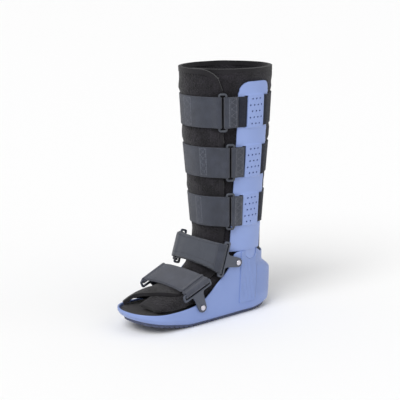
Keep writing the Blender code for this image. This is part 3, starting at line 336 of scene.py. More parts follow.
def lay_grid(name, rows, keep=None):
    """Sheet through rows of points, with a UV map in metres along its middle row and column."""
    last_row, last_column = len(rows) - 1, len(rows[0]) - 1
    middle = rows[last_row // 2]
    side = [row[last_column // 2] for row in rows]
    across, up = [0.0], [0.0]
    for first, second in zip(middle, middle[1:]):
        across.append(across[-1] + (second - first).length)
    for first, second in zip(side, side[1:]):
        up.append(up[-1] + (second - first).length)
    shape = bmesh.new()
    bmesh.ops.create_grid(shape, x_segments=last_column, y_segments=last_row, size=0.5)
    layer = shape.loops.layers.uv.new("cloth")
    places = {}
    for vert in shape.verts:
        places[vert] = (round((vert.co.x + 0.5) * last_column), round((vert.co.y + 0.5) * last_row))
    for face in shape.faces:
        for loop in face.loops:
            i, j = places[loop.vert]
            loop[layer].uv = (across[i], up[j])
    if keep:
        gone = []
        for face in shape.faces:
            i = min(places[vert][0] for vert in face.verts)
            j = min(places[vert][1] for vert in face.verts)
            if not keep(i, j):
                gone.append(face)
    for vert in shape.verts:
        i, j = places[vert]
        vert.co = rows[j][i]
    if keep:
        bmesh.ops.delete(shape, geom=gone, context="FACES")
    bmesh.ops.remove_doubles(shape, verts=shape.verts, dist=MERGE)
    return new_item(name, shape)


def ready_mesh(item):
    """New mesh of an item as its curve or its modifiers make it."""
    bpy.context.view_layer.update()
    return bpy.data.meshes.new_from_object(item.evaluated_get(bpy.context.evaluated_depsgraph_get()))


def settle_modifiers(item):
    item.data = ready_mesh(item)
    item.modifiers.clear()


def smooth_faces(item, sharp=40):
    item.data.shade_smooth()
    item.data.set_sharp_from_angle(angle=math.radians(sharp))


def face_out(item):
    shape = bmesh.new()
    shape.from_mesh(item.data)
    bmesh.ops.remove_doubles(shape, verts=shape.verts, dist=MERGE)
    bmesh.ops.recalc_face_normals(shape, faces=shape.faces)
    shape.to_mesh(item.data)
    shape.free()


def mirror_half(item):
    mirror = item.modifiers.new("other side", "MIRROR")
    mirror.merge_threshold = 0.05 * MM
    mirror.use_clip = True
    settle_modifiers(item)
    face_out(item)


def add_wall(item, thickness, offset, even=True):
    wall = item.modifiers.new("wall", "SOLIDIFY")
    wall.thickness = thickness
    wall.offset = offset
    wall.use_even_offset = even


def soften(item, width, segments=2, angle=50):
    edge = item.modifiers.new("edge", "BEVEL")
    edge.width = width
    edge.segments = segments
    edge.limit_method = "ANGLE"
    edge.angle_limit = math.radians(angle)


def dress(item, material, slot, *nodes):
    """Gives a piece its material, hangs it on the root body and hides the nodes that it stands for; the slot
    is not used.
    """
    item.data.materials.append(material)
    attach(item, "root")
    if nodes:
        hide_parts(*nodes)


def combine(item, operation, other):
    """Boolean of an item with another one, which is used up."""
    cut = item.modifiers.new("joint", "BOOLEAN")
    cut.operation = operation
    cut.object = other
    cut.solver = "EXACT"
    settle_modifiers(item)
    bpy.data.objects.remove(other, do_unlink=True)


def prism(name, outline, low, high):
    """Closed prism from a flat outline of (y, z) points, standing along X."""
    shape = bmesh.new()
    cap = shape.faces.new([shape.verts.new((low, y, z)) for y, z in outline])
    pushed = bmesh.ops.extrude_face_region(shape, geom=[cap])["geom"]
    moved = [part for part in pushed if isinstance(part, bmesh.types.BMVert)]
    bmesh.ops.translate(shape, verts=moved, vec=(high - low, 0, 0))
    bmesh.ops.recalc_face_normals(shape, faces=shape.faces)
    return new_item(name, shape)


RIVET_HOLE = RIVET_RADIUS + GAP


def circle(radius, count, across=0.0, up=0.0):
    angles = [i * 2 * math.pi / count for i in range(count)]
    return [(across + radius * math.cos(a), up + radius * math.sin(a)) for a in angles]


def channel_patch(side):
    """The raised channel's outer face, over the wall that it stands on."""
    half_width = STEM_WIDTH / 2 + CHANNEL_MARGIN
    rows = []
    for j in range(15):
        z = mix(CHANNEL_FOOT, SEAM_HEIGHT, j / 14)
        row = []
        for i in range(13):
            y = CHANNEL_CENTRE + mix(-half_width, half_width, i / 12)
            row.append(Vector((side * (cuff_half_width(y, z) + CHANNEL_RELIEF), y, z)))
        rows.append(row)
    return lay_grid("channel", rows)


def shell_columns():
    """Places round half the shell, close together where the wall's top is steep."""
    heel = [i / 24 for i in range(24)]
    flank = [mix(1.0, 1.3, i / 12) for i in range(12)] + [mix(1.3, 2.0, i / 18) for i in range(18)]
    toe = [2 + i / 22 for i in range(23)]
    return heel + flank + toe


# The rounded turn from the shell's underside to its wall: inset and rise, in mm
SHELL_TURN = ((7, 0.0), (5, 0.6), (3, 2), (1.6, 3.7), (0.8, 6))
# The wall's levels as shares of its height, close together at the heel ledge
WALL_SHARES = (0.08, 0.18, 0.3, 0.42, 0.5, 0.545, 0.59, 0.635, 0.68, 0.74, 0.8, 0.88, 0.95)
RIM_STEPS = 6


def shell_rows():
    """Half the shell: its underside, its wall, its round rim and its inside."""
    columns = shell_columns()
    tops = [wall_top(shell_point(u, TOE_RIM_HEIGHT).y) for u in columns]
    rows = []
    for inset, rise in SHELL_TURN:
        rows.append([
            settle(u, inset * MM, lambda y: shell_bottom(y) + rise * MM) for u in columns
        ])
    rows.insert(0, to_middle(rows[0]))
    feet = [point.z for point in rows[-1]]
    edge = SHELL_WALL / 2
    for share in WALL_SHARES:
        rows.append([
            shell_point(u, mix(z, t - edge, share), 0.8 * MM * (1 - smooth(share / 0.15)))
            for u, z, t in zip(columns, feet, tops)
        ])
    for step in range(RIM_STEPS + 1):
        angle = step * math.pi / RIM_STEPS
        inset = edge * (1 - math.cos(angle))
        rise = edge * (math.sin(angle) - 1)
        rows.append([shell_point(u, t + rise, inset) for u, t in zip(columns, tops)])
    beds = [footbed(point.y) for point in rows[1]]
    for share in (0.9, 0.74, 0.635, 0.545, 0.4, 0.0):
        rows.append([
            shell_point(u, mix(bed + 2 * MM, t - edge, share), SHELL_WALL)
            for u, bed, t in zip(columns, beds, tops)
        ])
    rows.append([settle(u, SHELL_WALL + 1 * MM, footbed) for u in columns])
    rows.append(to_middle(rows[-1]))
    return rows


CHANNEL_MARGIN = 4.5 * MM  # beside the stem
CHANNEL_WALL = 3 * MM
MOULD_EDGE = 0.7 * MM  # radius of the moulded edges
shell = lay_grid("shell_moulded", shell_rows())
mirror_half(shell)
for side in (1, -1):
    channel = channel_patch(side)
    add_wall(channel, CHANNEL_WALL, -side)
    soften(channel, MOULD_EDGE)
    settle_modifiers(channel)
    face_out(channel)
    combine(shell, "UNION", channel)


def tongue_outline(width, top):
    radius = width / 2
    points = [(TONGUE_CENTRE + radius, top), (TONGUE_CENTRE - radius, top)]
    for i in range(17):
        angle = math.pi + i * math.pi / 16
        y = TONGUE_CENTRE + radius * math.cos(angle)
        points.append((y, SEAM_HEIGHT - 2.5 * MM + radius * math.sin(angle)))
    return points


notch = prism("notch", tongue_outline(TONGUE_WIDTH + 3 * GAP, BOOT_HEIGHT / 2), -BOOT_HEIGHT, BOOT_HEIGHT)
combine(shell, "DIFFERENCE", notch)
for row in PIVOTS:
    y, z = pivot_place(row)
    combine(shell, "DIFFERENCE", prism("hole", circle(RIVET_HOLE, 20, y, z), -BOOT_HEIGHT, BOOT_HEIGHT))
smooth_faces(shell, 38)


def moulded_nylon(name, colour, light, ribs):
    """Injection-moulded nylon: an even satin face, faintly mottled, with a fine spark-eroded grain."""
    material, tree, shader, place = new_material(name, colour, 0.36)
    # Cloudy flow of the pigment over some 60 mm, then grain of 0.5 mm
    tint(tree, shader, grain(tree, place, 16), colour, light)
    emboss(tree, shader, grain(tree, place, 2000, 2.0), 0.12, 0.0002)
    if ribs:
        # Moulded ribs 3.2 mm apart above the sole, from the channel's front edge to the heel
        split = add_node(tree, "ShaderNodeSeparateXYZ", None, {"Vector": place}).outputs
        wave = sum_up(tree, "SINE", sum_up(tree, "MULTIPLY", split["Y"], 2 * math.pi / 0.0032), 0)
        for axis, low, high in (
            ("Y", CHANNEL_CENTRE - 19 * MM, CHANNEL_CENTRE - 18 * MM), ("Z", 24 * MM, 30 * MM),
        ):
            zone = add_node(
                tree, "ShaderNodeMapRange", {"From Min": low, "From Max": high}, {"Value": split[axis]}
            )
            wave = sum_up(tree, "MULTIPLY", wave, zone.outputs[0])
        emboss(tree, shader, wave, 0.6, 0.0005)
    return material


shell_nylon = moulded_nylon("moulded nylon, blue", "#7489c0", "#8599cc", True)
dress(shell, shell_nylon, "shell_base", "shell_base")

# Outsole
# The tread: a rocker sole of dark moulded rubber with cross grooves, cemented under the shell.


def moulded_rubber(name, colour):
    """Moulded rubber: matt, with a fine worn grain and paler dust on the high spots."""
    material, tree, shader, place = new_material(name, colour, 0.82)
    tint(tree, shader, grain(tree, place, 120, 4.0), colour, "#5d6480")
    emboss(tree, shader, grain(tree, place, 900), 0.3, 0.0004)
    return material


outsole = frame["nodes"]["outsole"]
outsole.data.materials.clear()
outsole.data.materials.append(moulded_rubber("moulded rubber, slate", "#3f4456"))

# Insole
# The footbed inside the shell: foam with a black knitted cover, glued to a board.
INSOLE_THICKNESS = 6.5 * MM


def insole_rows():
    """Half the insole, from its underside round its soft edge to its top."""
    columns = shell_columns()
    rows = []
    top = INSOLE_THICKNESS + GAP
    for rise, inset in (
        (GAP, 1.4), (top - 3 * MM, 1.4), (top - 1.4 * MM, 1.7), (top - 0.4 * MM, 2.5), (top, 4),
    ):
        rows.append([
            settle(u, SHELL_WALL + inset * MM, lambda y: footbed(y) + rise) for u in columns
        ])
    rows.insert(0, to_middle(rows[0]))
    for share in (0.6, 0.3, 0.0):
        rows.append([Vector((p.x * share, p.y, p.z)) for p in rows[5]])
    return rows


insole = lay_grid("insole_foam", insole_rows())
mirror_half(insole)
smooth_faces(insole)


def knitted_cover(name, colour, light, pitch, strength):
    """Knitted or looped cloth: small round loops with painted shade in the gaps between them, matt, with a
    soft sheen at the edge of view.
    """
    material, tree, shader, place = new_material(
        name, colour, 0.92, Sheen_Weight=0.15, Sheen_Roughness=0.5, Specular_IOR_Level=0.2
    )
    loops = add_node(tree, "ShaderNodeTexVoronoi", {"Scale": 1 / pitch}, {"Vector": place})
    loops = loops.outputs["Distance"]
    cloud = grain(tree, place, 45, 4.0)
    # Colour: a random cloudy tone, darkened by painted shade where the loops meet.
    tint(tree, shader, sum_up(tree, "MULTIPLY_ADD", loops, -0.55, cloud), colour, light)
    emboss(tree, shader, loops, strength, 0.0011, True)
    return material


# Knit loops of 1.2 mm, drawn coarser than the real 0.6 mm so that they show
dress(insole, knitted_cover("polyester knit, black", "#1d1b1e", "#302e33", 0.0012, 0.5), "insole", "insole")

# Liner
# The soft boot: one wrapped sheet of foam faced with brushed loop cloth. It closes with a lap at
# the front, its edges are bound, and it is left open over the toes.
ANKLE_HALF_WIDTH = 55 * MM
ANKLE_FRONT = 56 * MM
ANKLE_BACK = 70.5 * MM
CALF_HALF_WIDTH = 72 * MM
CALF_FRONT = 76 * MM
CALF_BACK = 88 * MM
LINER_WALL = 5 * MM
LAP_EDGE = 48
LAP_CORNER = 35 * MM
SOFT_GAP = 0.4 * MM
LINER_GAP = 0.7 * MM
STRAP_SPACING = 84 * MM
TOP_STRAP = 356 * MM
WEBBING_WIDTH = 50.8 * MM
LAP_RISE = LINER_WALL + SOFT_GAP
SOLE_LINE = FLOOR_HEIGHT + GAP + INSOLE_THICKNESS + SOFT_GAP
TURN_STEP = 5

LegRow = namedtuple("LegRow", "up spread")
LEG = [LegRow(*row) for row in (
    (-0.18, -0.206), (0.0, 0.0), (0.23, 0.26), (0.60, 0.70), (1.0, 1.0),
)]

BendRow = namedtuple("BendRow", "front_ahead front_rise back_out back_rise square")
BEND = [BendRow(*row) for row in (
    (0.261, 1.281, 0.761, 1.298, 2.0), (0.275, 1.126, 0.768, 0.982, 2.0),
    (0.289, 1.039, 0.768, 0.690, 2.0), (0.311, 0.952, 0.800, 0.397, 2.2),
    (0.330, 0.874, 0.800, 0.153, 2.4), (0.354, 0.805, 0.640, 0.007, 2.6),
    (0.383, 0.745, 0.269, 0.0, 3.0), (0.421, 0.688, -0.072, 0.0, 3.4),
    (0.464, 0.649, -0.278, 0.0, 3.8), (0.517, 0.615, -0.517, 0.0, 4.0),
)]

VampRow = namedtuple("VampRow", "ahead rise")
VAMP = [VampRow(*row) for row in (
    (0.517, 0.615), (0.612, 0.563), (0.718, 0.532), (0.823, 0.463), (0.890, 0.407), (0.960, 0.372),
)]

FrontRow = namedtuple("FrontRow", "turn ahead")
LINER_FRONT = [FrontRow(*row) for row in (
    (0, 0.861), (60, 0.842), (90, 0.804), (130, 0.646), (180, 0.585), (230, 0.646), (262, 0.790),
    (276, 0.861), (292, 0.885), (310, 0.852), (330, 0.813), (360, 0.775), (385, 0.699),
    (410, 0.610),
)]

Ring = namedtuple("Ring", "front back width square")


def leg_ring(z):
    """Section of the liner's outside across the leg, under the lap."""
    spread = curve_read(LEG, (z - ANKLE_HEIGHT) / (BOOT_HEIGHT - ANKLE_HEIGHT))
    front = mix(ANKLE_FRONT, CALF_FRONT, spread) - LAP_RISE
    back = mix(ANKLE_BACK, CALF_BACK, spread)
    width = mix(ANKLE_HALF_WIDTH, CALF_HALF_WIDTH, spread)
    return Ring(Vector((0, -front, z)), Vector((0, back, z)), width, 2.0)


def ring_point(ring, turn, lift=0.0):
    """Point of a section, turn degrees from its front towards +X, lifted off it by lift."""
    angle = math.radians(turn)
    middle = (ring.front + ring.back) / 2
    axis = (ring.front - ring.back) / 2
    square = 2.0 if math.cos(angle) >= 0 else ring.square
    s, c = super_sine(angle, square)
    out = Vector((math.sin(angle) / ring.width, 0, 0)) + axis * (math.cos(angle) / axis.length_squared)
    return middle + Vector((ring.width * s, 0, 0)) + axis * c + out.normalized() * lift


def leg_point(z, turn, lift=0.0):
    return ring_point(leg_ring(z), turn, lift)


def turn_at(z, y, side):
    """Turn at which the leg's section passes a place along Y, on the side +1 or -1."""
    ring = leg_ring(z)
    middle = (ring.front.y + ring.back.y) / 2
    half = (ring.back.y - ring.front.y) / 2
    return side * math.degrees(math.acos(min(max((middle - y) / half, -1.0), 1.0)))


def lap_lift(turn):
    """Lift of the lap over the leg's section, turn degrees from the front."""
    return LAP_RISE * smooth((turn + 60) / 50)


def bend_ring(row):
    """Section through ankle, heel and foot, fanned about the instep."""
    front = Vector((0, -row.front_ahead * TOE_REACH, row.front_rise * SEAM_HEIGHT))
    reach = HEEL_REACH if row.back_out > 0 else TOE_REACH
    back = Vector((0, row.back_out * reach, mix(SOLE_LINE, SEAM_HEIGHT, row.back_rise)))
    front += (back - front).normalized() * LAP_RISE
    middle = (front + back) / 2
    low = mix(middle.z, back.z, 0.5)
    width = min(leg_ring(middle.z).width, inner_half_width(middle.y, low) - LINER_GAP)
    return Ring(front, back, width, row.square)


def vamp_ring(y):
    top = curve_read(VAMP, -y / TOE_REACH) * SEAM_HEIGHT - LAP_RISE
    width = inner_half_width(y, SOLE_LINE) - LINER_GAP
    return Ring(Vector((0, y, top)), Vector((0, y, SOLE_LINE)), width, 4.0)


def liner_turns():
    count = int((LAP_EDGE + 360) / TURN_STEP)
    return [LAP_EDGE + 360 - TURN_STEP * (count - i) for i in range(count + 1)]


def sheet_lift(turn):
    """The liner is one wrapped sheet: past a whole turn it lies on its own inner end."""
    if turn < 180:
        return 0.0
    return lap_lift(turn - 360)


def rim_height(turn):
    past = (turn - 360 - LAP_EDGE + 28) / 28
    if past <= 0:
        return BOOT_HEIGHT
    return BOOT_HEIGHT - LAP_CORNER * (1 - math.sqrt(1 - min(past, 1.0) ** 2))


def strap_heights():
    return [TOP_STRAP - i * STRAP_SPACING for i in range(3)]


def between_rows(rows, cuts):
    """Rows with more put between them on smooth curves."""
    made = []
    last = len(rows) - 1
    for j in range(last):
        before, after = rows[max(j - 1, 0)], rows[min(j + 2, last)]
        for k in range(cuts[j]):
            s = k / cuts[j]
            row = []
            for a, b, c, d in zip(before, rows[j], rows[j + 1], after):
                row.append(
                    b * (1 + s * s * (1.5 * s - 2.5)) + c * s * (0.5 + s * (2 - 1.5 * s))
                    + a * (-0.5 * s * (1 - s) ** 2) + d * (-0.5 * s * s * (1 - s))
                )
            made.append(row)
    return made + [rows[-1]]


def slack(point):
    """How much a place on the liner may swell or crease: nothing under straps, uprights or shell."""
    y, z = point.y, point.z
    if z > ANKLE_HEIGHT:
        beside = smooth((abs(y - UPRIGHT_CENTRE) - 33 * MM) / (6 * MM))
        beside = max(beside, smooth((z - 407 * MM) / (6 * MM)))
        clear = min(smooth((abs(z - h) - 27 * MM) / (7 * MM)) for h in strap_heights())
        return beside * clear
    if y > -60 * MM:
        return smooth((z - SEAM_HEIGHT - 12 * MM) / (14 * MM)) * smooth((-y - 30 * MM) / (10 * MM))
    ahead = smooth((-y - 130 * MM) / (12 * MM))
    middle = smooth((z - 40 * MM) / (10 * MM)) * smooth((50 * MM - abs(point.x)) / (12 * MM))
    return ahead * middle


LEG_HEART = 10 * MM  # behind the leg axis, the middle of the calf
SWELL = 1.2 * MM  # how far the foam stands out where no strap holds it
CREASE = 1.8 * MM
LEG_STEPS = 60


def liner_rows():
    """The liner's outside, from the rim down the leg, round the heel and along the foot."""
    turns = liner_turns()
    rows = []
    for step in range(LEG_STEPS + 1):
        row = []
        for turn in turns:
            z = mix(rim_height(turn), ANKLE_HEIGHT, step / LEG_STEPS)
            row.append(leg_point(z, turn, sheet_lift(turn)))
        rows.append(row)
    lower = [rows[-1]]
    for bend in BEND:
        ring = bend_ring(bend)
        lower.append([ring_point(ring, turn, sheet_lift(turn)) for turn in turns])
    start = -BEND[-1].front_ahead * TOE_REACH
    for share in (0.3, 0.6, 0.85, 1.0):
        row = []
        for turn in turns:
            y = mix(start, -straight_read(LINER_FRONT, turn) * TOE_REACH, share)
            row.append(ring_point(vamp_ring(y), turn, sheet_lift(turn)))
        lower.append(row)
    rows += between_rows(lower, [3] * 14)[1:]
    for row in rows:
        for i, (point, turn) in enumerate(zip(row, turns)):
            room = slack(point) if turn >= 60 else 0
            if room <= 0:
                continue
            fold = noise.noise(Vector((point.x * 25, point.y * 25, point.z * 70)))
            soft = noise.noise(point * 28)
            middle = Vector((0, point.y, SOLE_LINE))
            if point.z > ANKLE_HEIGHT:
                middle = Vector((0, LEG_HEART, point.z))
            out = (point - middle).normalized()
            row[i] = point + out * room * (SWELL + CREASE * fold + SWELL * soft)
    return rows


rows = liner_rows()
liner = lay_grid("liner_wrap", rows)
add_wall(liner, LINER_WALL, -1, False)
probe = liner.data.polygons[0]
if probe.normal.dot(probe.center - Vector((0, LEG_HEART, probe.center.z))) < 0:
    liner.data.flip_normals()
soften(liner, 1.6 * MM, 3)
settle_modifiers(liner)
smooth_faces(liner, 60)
# Brushed loops of 2.2 mm, drawn coarser than the real 0.8 mm so that they show
loop_cloth = knitted_cover("brushed loop cloth, charcoal", "#121114", "#39363d", 0.0022, 1.0)
dress(liner, loop_cloth, "liner", "liner")

# Liner bindings
# Folded tape of knitted polyester, sewn over the liner's rim, its lap's edge and its toe edge.
BINDING_WIDTH = 8 * MM
BINDING_WALL = 0.5 * MM


def bind(name, outer, nearer):
    """Tape folded over the liner's edge, from the edge's outside points towards the next ones."""
    inner = [a + (b - a).normalized() * BINDING_WIDTH for a, b in zip(outer, nearer)]
    rows = []
    for share in (-0.05, 0.0, 0.35, 0.7, 1.0):
        rows.append([a.lerp(b, share) for a, b in zip(outer, inner)])
    band = lay_grid(name, rows)
    shape = bmesh.new()
    shape.from_mesh(band.data)
    bmesh.ops.recalc_face_normals(shape, faces=shape.faces)
    shape.faces.ensure_lookup_table()
    face = shape.faces[len(shape.faces) // 3]
    spot = face.calc_center_median()
    heart = Vector((0, LEG_HEART, spot.z)) if spot.z > 0.15 else Vector((0, spot.y, SOLE_LINE))
    if face.normal.dot(spot - heart) < 0:
        bmesh.ops.reverse_faces(shape, faces=shape.faces)
    shape.to_mesh(band.data)
    shape.free()
    add_wall(band, LINER_WALL + 2 * BINDING_WALL, 0, False)
    push = band.modifiers.new("seat", "DISPLACE")
    push.strength = -LINER_WALL / 2
    push.mid_level = 0
    band.modifiers.move(1, 0)
    soften(band, 1.8 * MM, 3)
    settle_modifiers(band)
    smooth_faces(band, 60)
    dress(band, binding_tape, "liner")


binding_tape = knitted_cover("knitted binding tape, black", "#1b1a1d", "#2c2a2f", 0.0010, 0.4)
bind("rim_binding", rows[0], rows[4])
bind("lap_binding", [row[-1] for row in rows], [row[-3] for row in rows])
bind("toe_binding", rows[-1], rows[-4])

# Uprights
# Two side stays of the same moulded nylon. Each has three pairs of slots with a raised dotted
# bridge between, and a tongue that fills the shell's notch.
UPRIGHT_TOP = 405 * MM
UPRIGHT_THICKNESS = 3 * MM
FRONT_RAIL = 10 * MM
REAR_RAIL = 8 * MM
SLOT_WIDTH = 5.5 * MM
SLOT_PLAY = 1.4 * MM
BRIDGE_RELIEF = 2.6 * MM
FRONT_CORNER = 20 * MM
REAR_CORNER = 12 * MM
DOT_RADIUS = 2.4 * MM * 0.66
DOT_PITCH = 8 * MM
DOT_SHIFT = 1 * MM  # behind the upright's middle
DOT_ROW_PITCH = 10.3 * MM
BRIDGE_FRONT = UPRIGHT_FRONT + FRONT_RAIL + SLOT_WIDTH
BRIDGE_BACK = UPRIGHT_BACK - REAR_RAIL - SLOT_WIDTH


def upright_top(y):
    """Top edge of an upright, with its two unlike round corners."""
    front = y - UPRIGHT_FRONT
    back = UPRIGHT_BACK - y
    for distance, radius in ((front, FRONT_CORNER), (back, REAR_CORNER)):
        if distance < radius:
            return UPRIGHT_TOP - radius + math.sqrt(max(radius ** 2 - (radius - distance) ** 2, 0))
    return UPRIGHT_TOP


SLOT_COLUMNS = (5, 18)  # the columns that upright_columns puts in the slots


def upright_columns():
    spans = [
        (UPRIGHT_FRONT, UPRIGHT_FRONT + FRONT_RAIL, 5), (UPRIGHT_FRONT + FRONT_RAIL, BRIDGE_FRONT, 1),
        (BRIDGE_FRONT, BRIDGE_BACK, 12), (BRIDGE_BACK, UPRIGHT_BACK - REAR_RAIL, 1),
        (UPRIGHT_BACK - REAR_RAIL, UPRIGHT_BACK, 5),
    ]
    columns = [UPRIGHT_FRONT]
    for low, high, count in spans:
        columns += [mix(low, high, (i + 1) / count) for i in range(count)]
    return columns


def upright_levels():
    """Heights of the upright's rows, close together at the ends of the slots."""
    slot = WEBBING_WIDTH / 2 + SLOT_PLAY
    low_foot = SEAM_HEIGHT + GAP
    levels = [mix(low_foot, strap_heights()[-1] - slot - 5 * MM, i / 6) for i in range(6)]
    for height in reversed(strap_heights()):
        levels += [height - slot - step * MM for step in (5, 3, 1)]
        levels += [mix(height - slot, height + slot, i / 10) for i in range(11)]
        levels += [height + slot + step * MM for step in (1, 3, 5)]
        if height < TOP_STRAP:
            low, high = height + slot + 5 * MM, height + STRAP_SPACING - slot - 5 * MM
            levels += [mix(low, high, i / 4) for i in (1, 2, 3)]
    return levels


def upright_lift(y, z):
    """The bridges stand proud for the straps, with a curved lip above and below each."""
    lift = SOFT_GAP + UPRIGHT_THICKNESS
    slot = WEBBING_WIDTH / 2 + SLOT_PLAY
    middle = mix(BRIDGE_FRONT, BRIDGE_BACK, 0.5)
    aside = abs(y - middle) / (BRIDGE_BACK - middle)
    for height in strap_heights():
        off = abs(z - height) - slot
        if aside <= 1.02:
            lift += BRIDGE_RELIEF * (1 - smooth((off + 0.5 * MM) / (3 * MM)))
        lift += 0.6 * MM * max(0, 1 - abs(off - 4 * MM) / (2.5 * MM))
    return lift


TONGUE_HALF = 1.4 * MM  # half the tongue's thickness
UPRIGHT_EDGE = 0.8 * MM


def cut_dots(item):
    """Rows of three and four round holes through each bridge."""
    shape = bmesh.new()
    for height in strap_heights():
        for row in range(5):
            count = 3 + row % 2
            for place in range(count):
                y = UPRIGHT_CENTRE + DOT_SHIFT + (place - (count - 1) / 2) * DOT_PITCH
                z = height + (2 - row) * DOT_ROW_PITCH
                made = bmesh.ops.create_cone(
                    shape, cap_ends=True, segments=12, radius1=DOT_RADIUS, radius2=DOT_RADIUS,
                    depth=CALF_HALF_WIDTH,
                )["verts"]
                for vert in made:
                    x, up = vert.co.z, vert.co.x
                    vert.co = Vector((CALF_HALF_WIDTH + x, y + vert.co.y, z + up))
    bmesh.ops.recalc_face_normals(shape, faces=shape.faces)
    combine(item, "DIFFERENCE", new_item("dots", shape))


def build_upright(name, side):
    """One side stay: a plate over the leg with its slots, its tongue and its dots."""
    columns, levels = upright_columns(), upright_levels()
    rows = []
    for z in levels:
        rows.append([leg_point(z, turn_at(z, y, 1), upright_lift(y, z)) for y in columns])
    for share in (0.2, 0.4, 0.6, 0.75, 0.87, 1.0):
        row = []
        for y in columns:
            z = mix(levels[-1], upright_top(y), share)
            row.append(leg_point(z, turn_at(z, y, 1), upright_lift(y, z)))
        rows.append(row)
    def keep(i, j):
        if i not in SLOT_COLUMNS or j + 1 >= len(levels):
            return True
        middle = (levels[j] + levels[j + 1]) / 2
        return all(abs(middle - height) > WEBBING_WIDTH / 2 + SLOT_PLAY for height in strap_heights())

    item = lay_grid(name, rows, keep)
    if item.data.polygons[0].normal.x < 0:
        item.data.flip_normals()
    add_wall(item, UPRIGHT_THICKNESS, -1)
    settle_modifiers(item)
    face_out(item)
    tongue = prism("tongue", tongue_outline(TONGUE_WIDTH, SEAM_HEIGHT + 4 * MM), -TONGUE_HALF, TONGUE_HALF)
    for vert in tongue.data.vertices:
        turn = turn_at(SEAM_HEIGHT, vert.co.y, 1)
        vert.co.x += leg_point(SEAM_HEIGHT, turn, SOFT_GAP + UPRIGHT_THICKNESS / 2).x
    combine(item, "UNION", tongue)
    soften(item, UPRIGHT_EDGE, 2, 60)
    settle_modifiers(item)
    cut_dots(item)
    if side < 0:
        for vert in item.data.vertices:
            vert.co.x = -vert.co.x
        item.data.flip_normals()
    smooth_faces(item, 35)
    return item


# The stays' nylon is a lighter copy of the shell's: painted light, for the brighter light that falls on the
# stays.
lit_upright_nylon = moulded_nylon("moulded nylon, light blue", "#7d91c6", "#8c9fd0", False)
dress(build_upright("upright_near_stay", 1), lit_upright_nylon, "upright_near", "upright_near")
dress(build_upright("upright_far_stay", -1), lit_upright_nylon, "upright_far", "upright_far")

# Calf rings and straps
# Each calf strap is one length of woven webbing: a sewn tab, a moulded wire ring, the run
# round the leg through both uprights, and a flap that folds back over itself at the front.
WEBBING_THICKNESS = 1.8 * MM
BAR_RADIUS = 2 * MM
RING_WIDTH = 15.5 * MM
RING_SLACK = 6 * MM
TAB_LENGTH = 24 * MM
WRAP_RADIUS = BAR_RADIUS + SOFT_GAP + WEBBING_THICKNESS / 2 + 0.2 * MM
STRAP_LIFT = SOFT_GAP + WEBBING_THICKNESS / 2
LAYER = WEBBING_THICKNESS + SOFT_GAP

StrapRow = namedtuple("StrapRow", "name ring_turn flap_turn")
CALF_STRAPS = (
    StrapRow("top", 48, -6),
    StrapRow("mid", 57, 16),
    StrapRow("low", 57, 4),
)


def ring_frame(height, turn, lift):
    """Middle of a calf ring with its directions round, up and out of the leg."""
    middle = leg_point(height, turn, lift)
    span = 10 * MM
    up = (leg_point(height + span, turn, lift) - leg_point(height - span, turn, lift)).normalized()
    round_leg = (leg_point(height, turn + 3, lift) - leg_point(height, turn - 3, lift)).normalized()
    out = round_leg.cross(up).normalized()
    return middle, round_leg, up, out


def calf_base_lift(turn, rail_turn):
    """Lift of a calf strap's inner layer between the lap's edge and the upright's rail."""
    rail = SOFT_GAP + UPRIGHT_THICKNESS + STRAP_LIFT
    if turn <= LAP_EDGE:
        return lap_lift(turn) + STRAP_LIFT
    return mix(LAP_RISE + STRAP_LIFT, rail, min((turn - LAP_EDGE) / (rail_turn - LAP_EDGE), 1.0))


def calf_ring_lift(row, height):
    rail_turn = turn_at(height, UPRIGHT_FRONT, 1)
    return calf_base_lift(row.ring_turn, rail_turn) + WRAP_RADIUS


def bar_offset():
    return RING_WIDTH / 2 - BAR_RADIUS


def calf_wrap(frame, side):
    """Points of the webbing round one bar of a ring, from outside the ring to under it."""
    middle, round_leg, up, out = frame
    centre = middle + round_leg * side * bar_offset()
    pairs = []
    for i in range(6):
        angle = i * math.pi / 5
        point = centre + (out * math.cos(angle) - round_leg * side * math.sin(angle)) * WRAP_RADIUS
        pairs.append((point - up * WEBBING_WIDTH / 2, point + up * WEBBING_WIDTH / 2))
    return pairs


def calf_pair(height, turn, lift):
    """Lower and upper edge points of a calf strap at a turn."""
    low, high = height - WEBBING_WIDTH / 2, height + WEBBING_WIDTH / 2
    return leg_point(low, turn, lift), leg_point(high, turn, lift)


def calf_pair_at(height, y, side, lift):
    """Lower and upper edge points of a calf strap at a place along Y beside an upright."""
    pair = []
    for z in (height - WEBBING_WIDTH / 2, height + WEBBING_WIDTH / 2):
        pair.append(leg_point(z, turn_at(z, y, side), lift))
    return tuple(pair)


def rail_crossing(height, side):
    """Webbing over the front rail, behind the bridge and over the rear rail of one upright."""
    over = SOFT_GAP + UPRIGHT_THICKNESS + STRAP_LIFT + 0.15 * MM
    under = STRAP_LIFT + 0.1 * MM
    front_rail, rear_rail = UPRIGHT_FRONT + FRONT_RAIL, UPRIGHT_BACK - REAR_RAIL
    places = [(UPRIGHT_FRONT - 1 * MM, over), (front_rail - 0.5 * MM, over), (BRIDGE_FRONT + 0.5 * MM, under)]
    places += [(mix(BRIDGE_FRONT, BRIDGE_BACK, share), under) for share in (0.25, 0.5, 0.75)]
    places += [(BRIDGE_BACK - 0.5 * MM, under), (rear_rail + 0.5 * MM, over), (UPRIGHT_BACK, over)]
    return [calf_pair_at(height, y, side, lift) for y, lift in places]


def calf_turns(row, height):
    """Turns of a ring's near and far bar, of its tab's end and of the near upright's rear edge."""
    radius = (CALF_HALF_WIDTH + CALF_FRONT) / 2
    half_turn = math.degrees(bar_offset() / radius)
    near, far = row.ring_turn + half_turn, row.ring_turn - half_turn
    tab_end = near + math.degrees(TAB_LENGTH / radius) * 0.75
    return near, far, tab_end, turn_at(height, UPRIGHT_BACK, 1) + 6


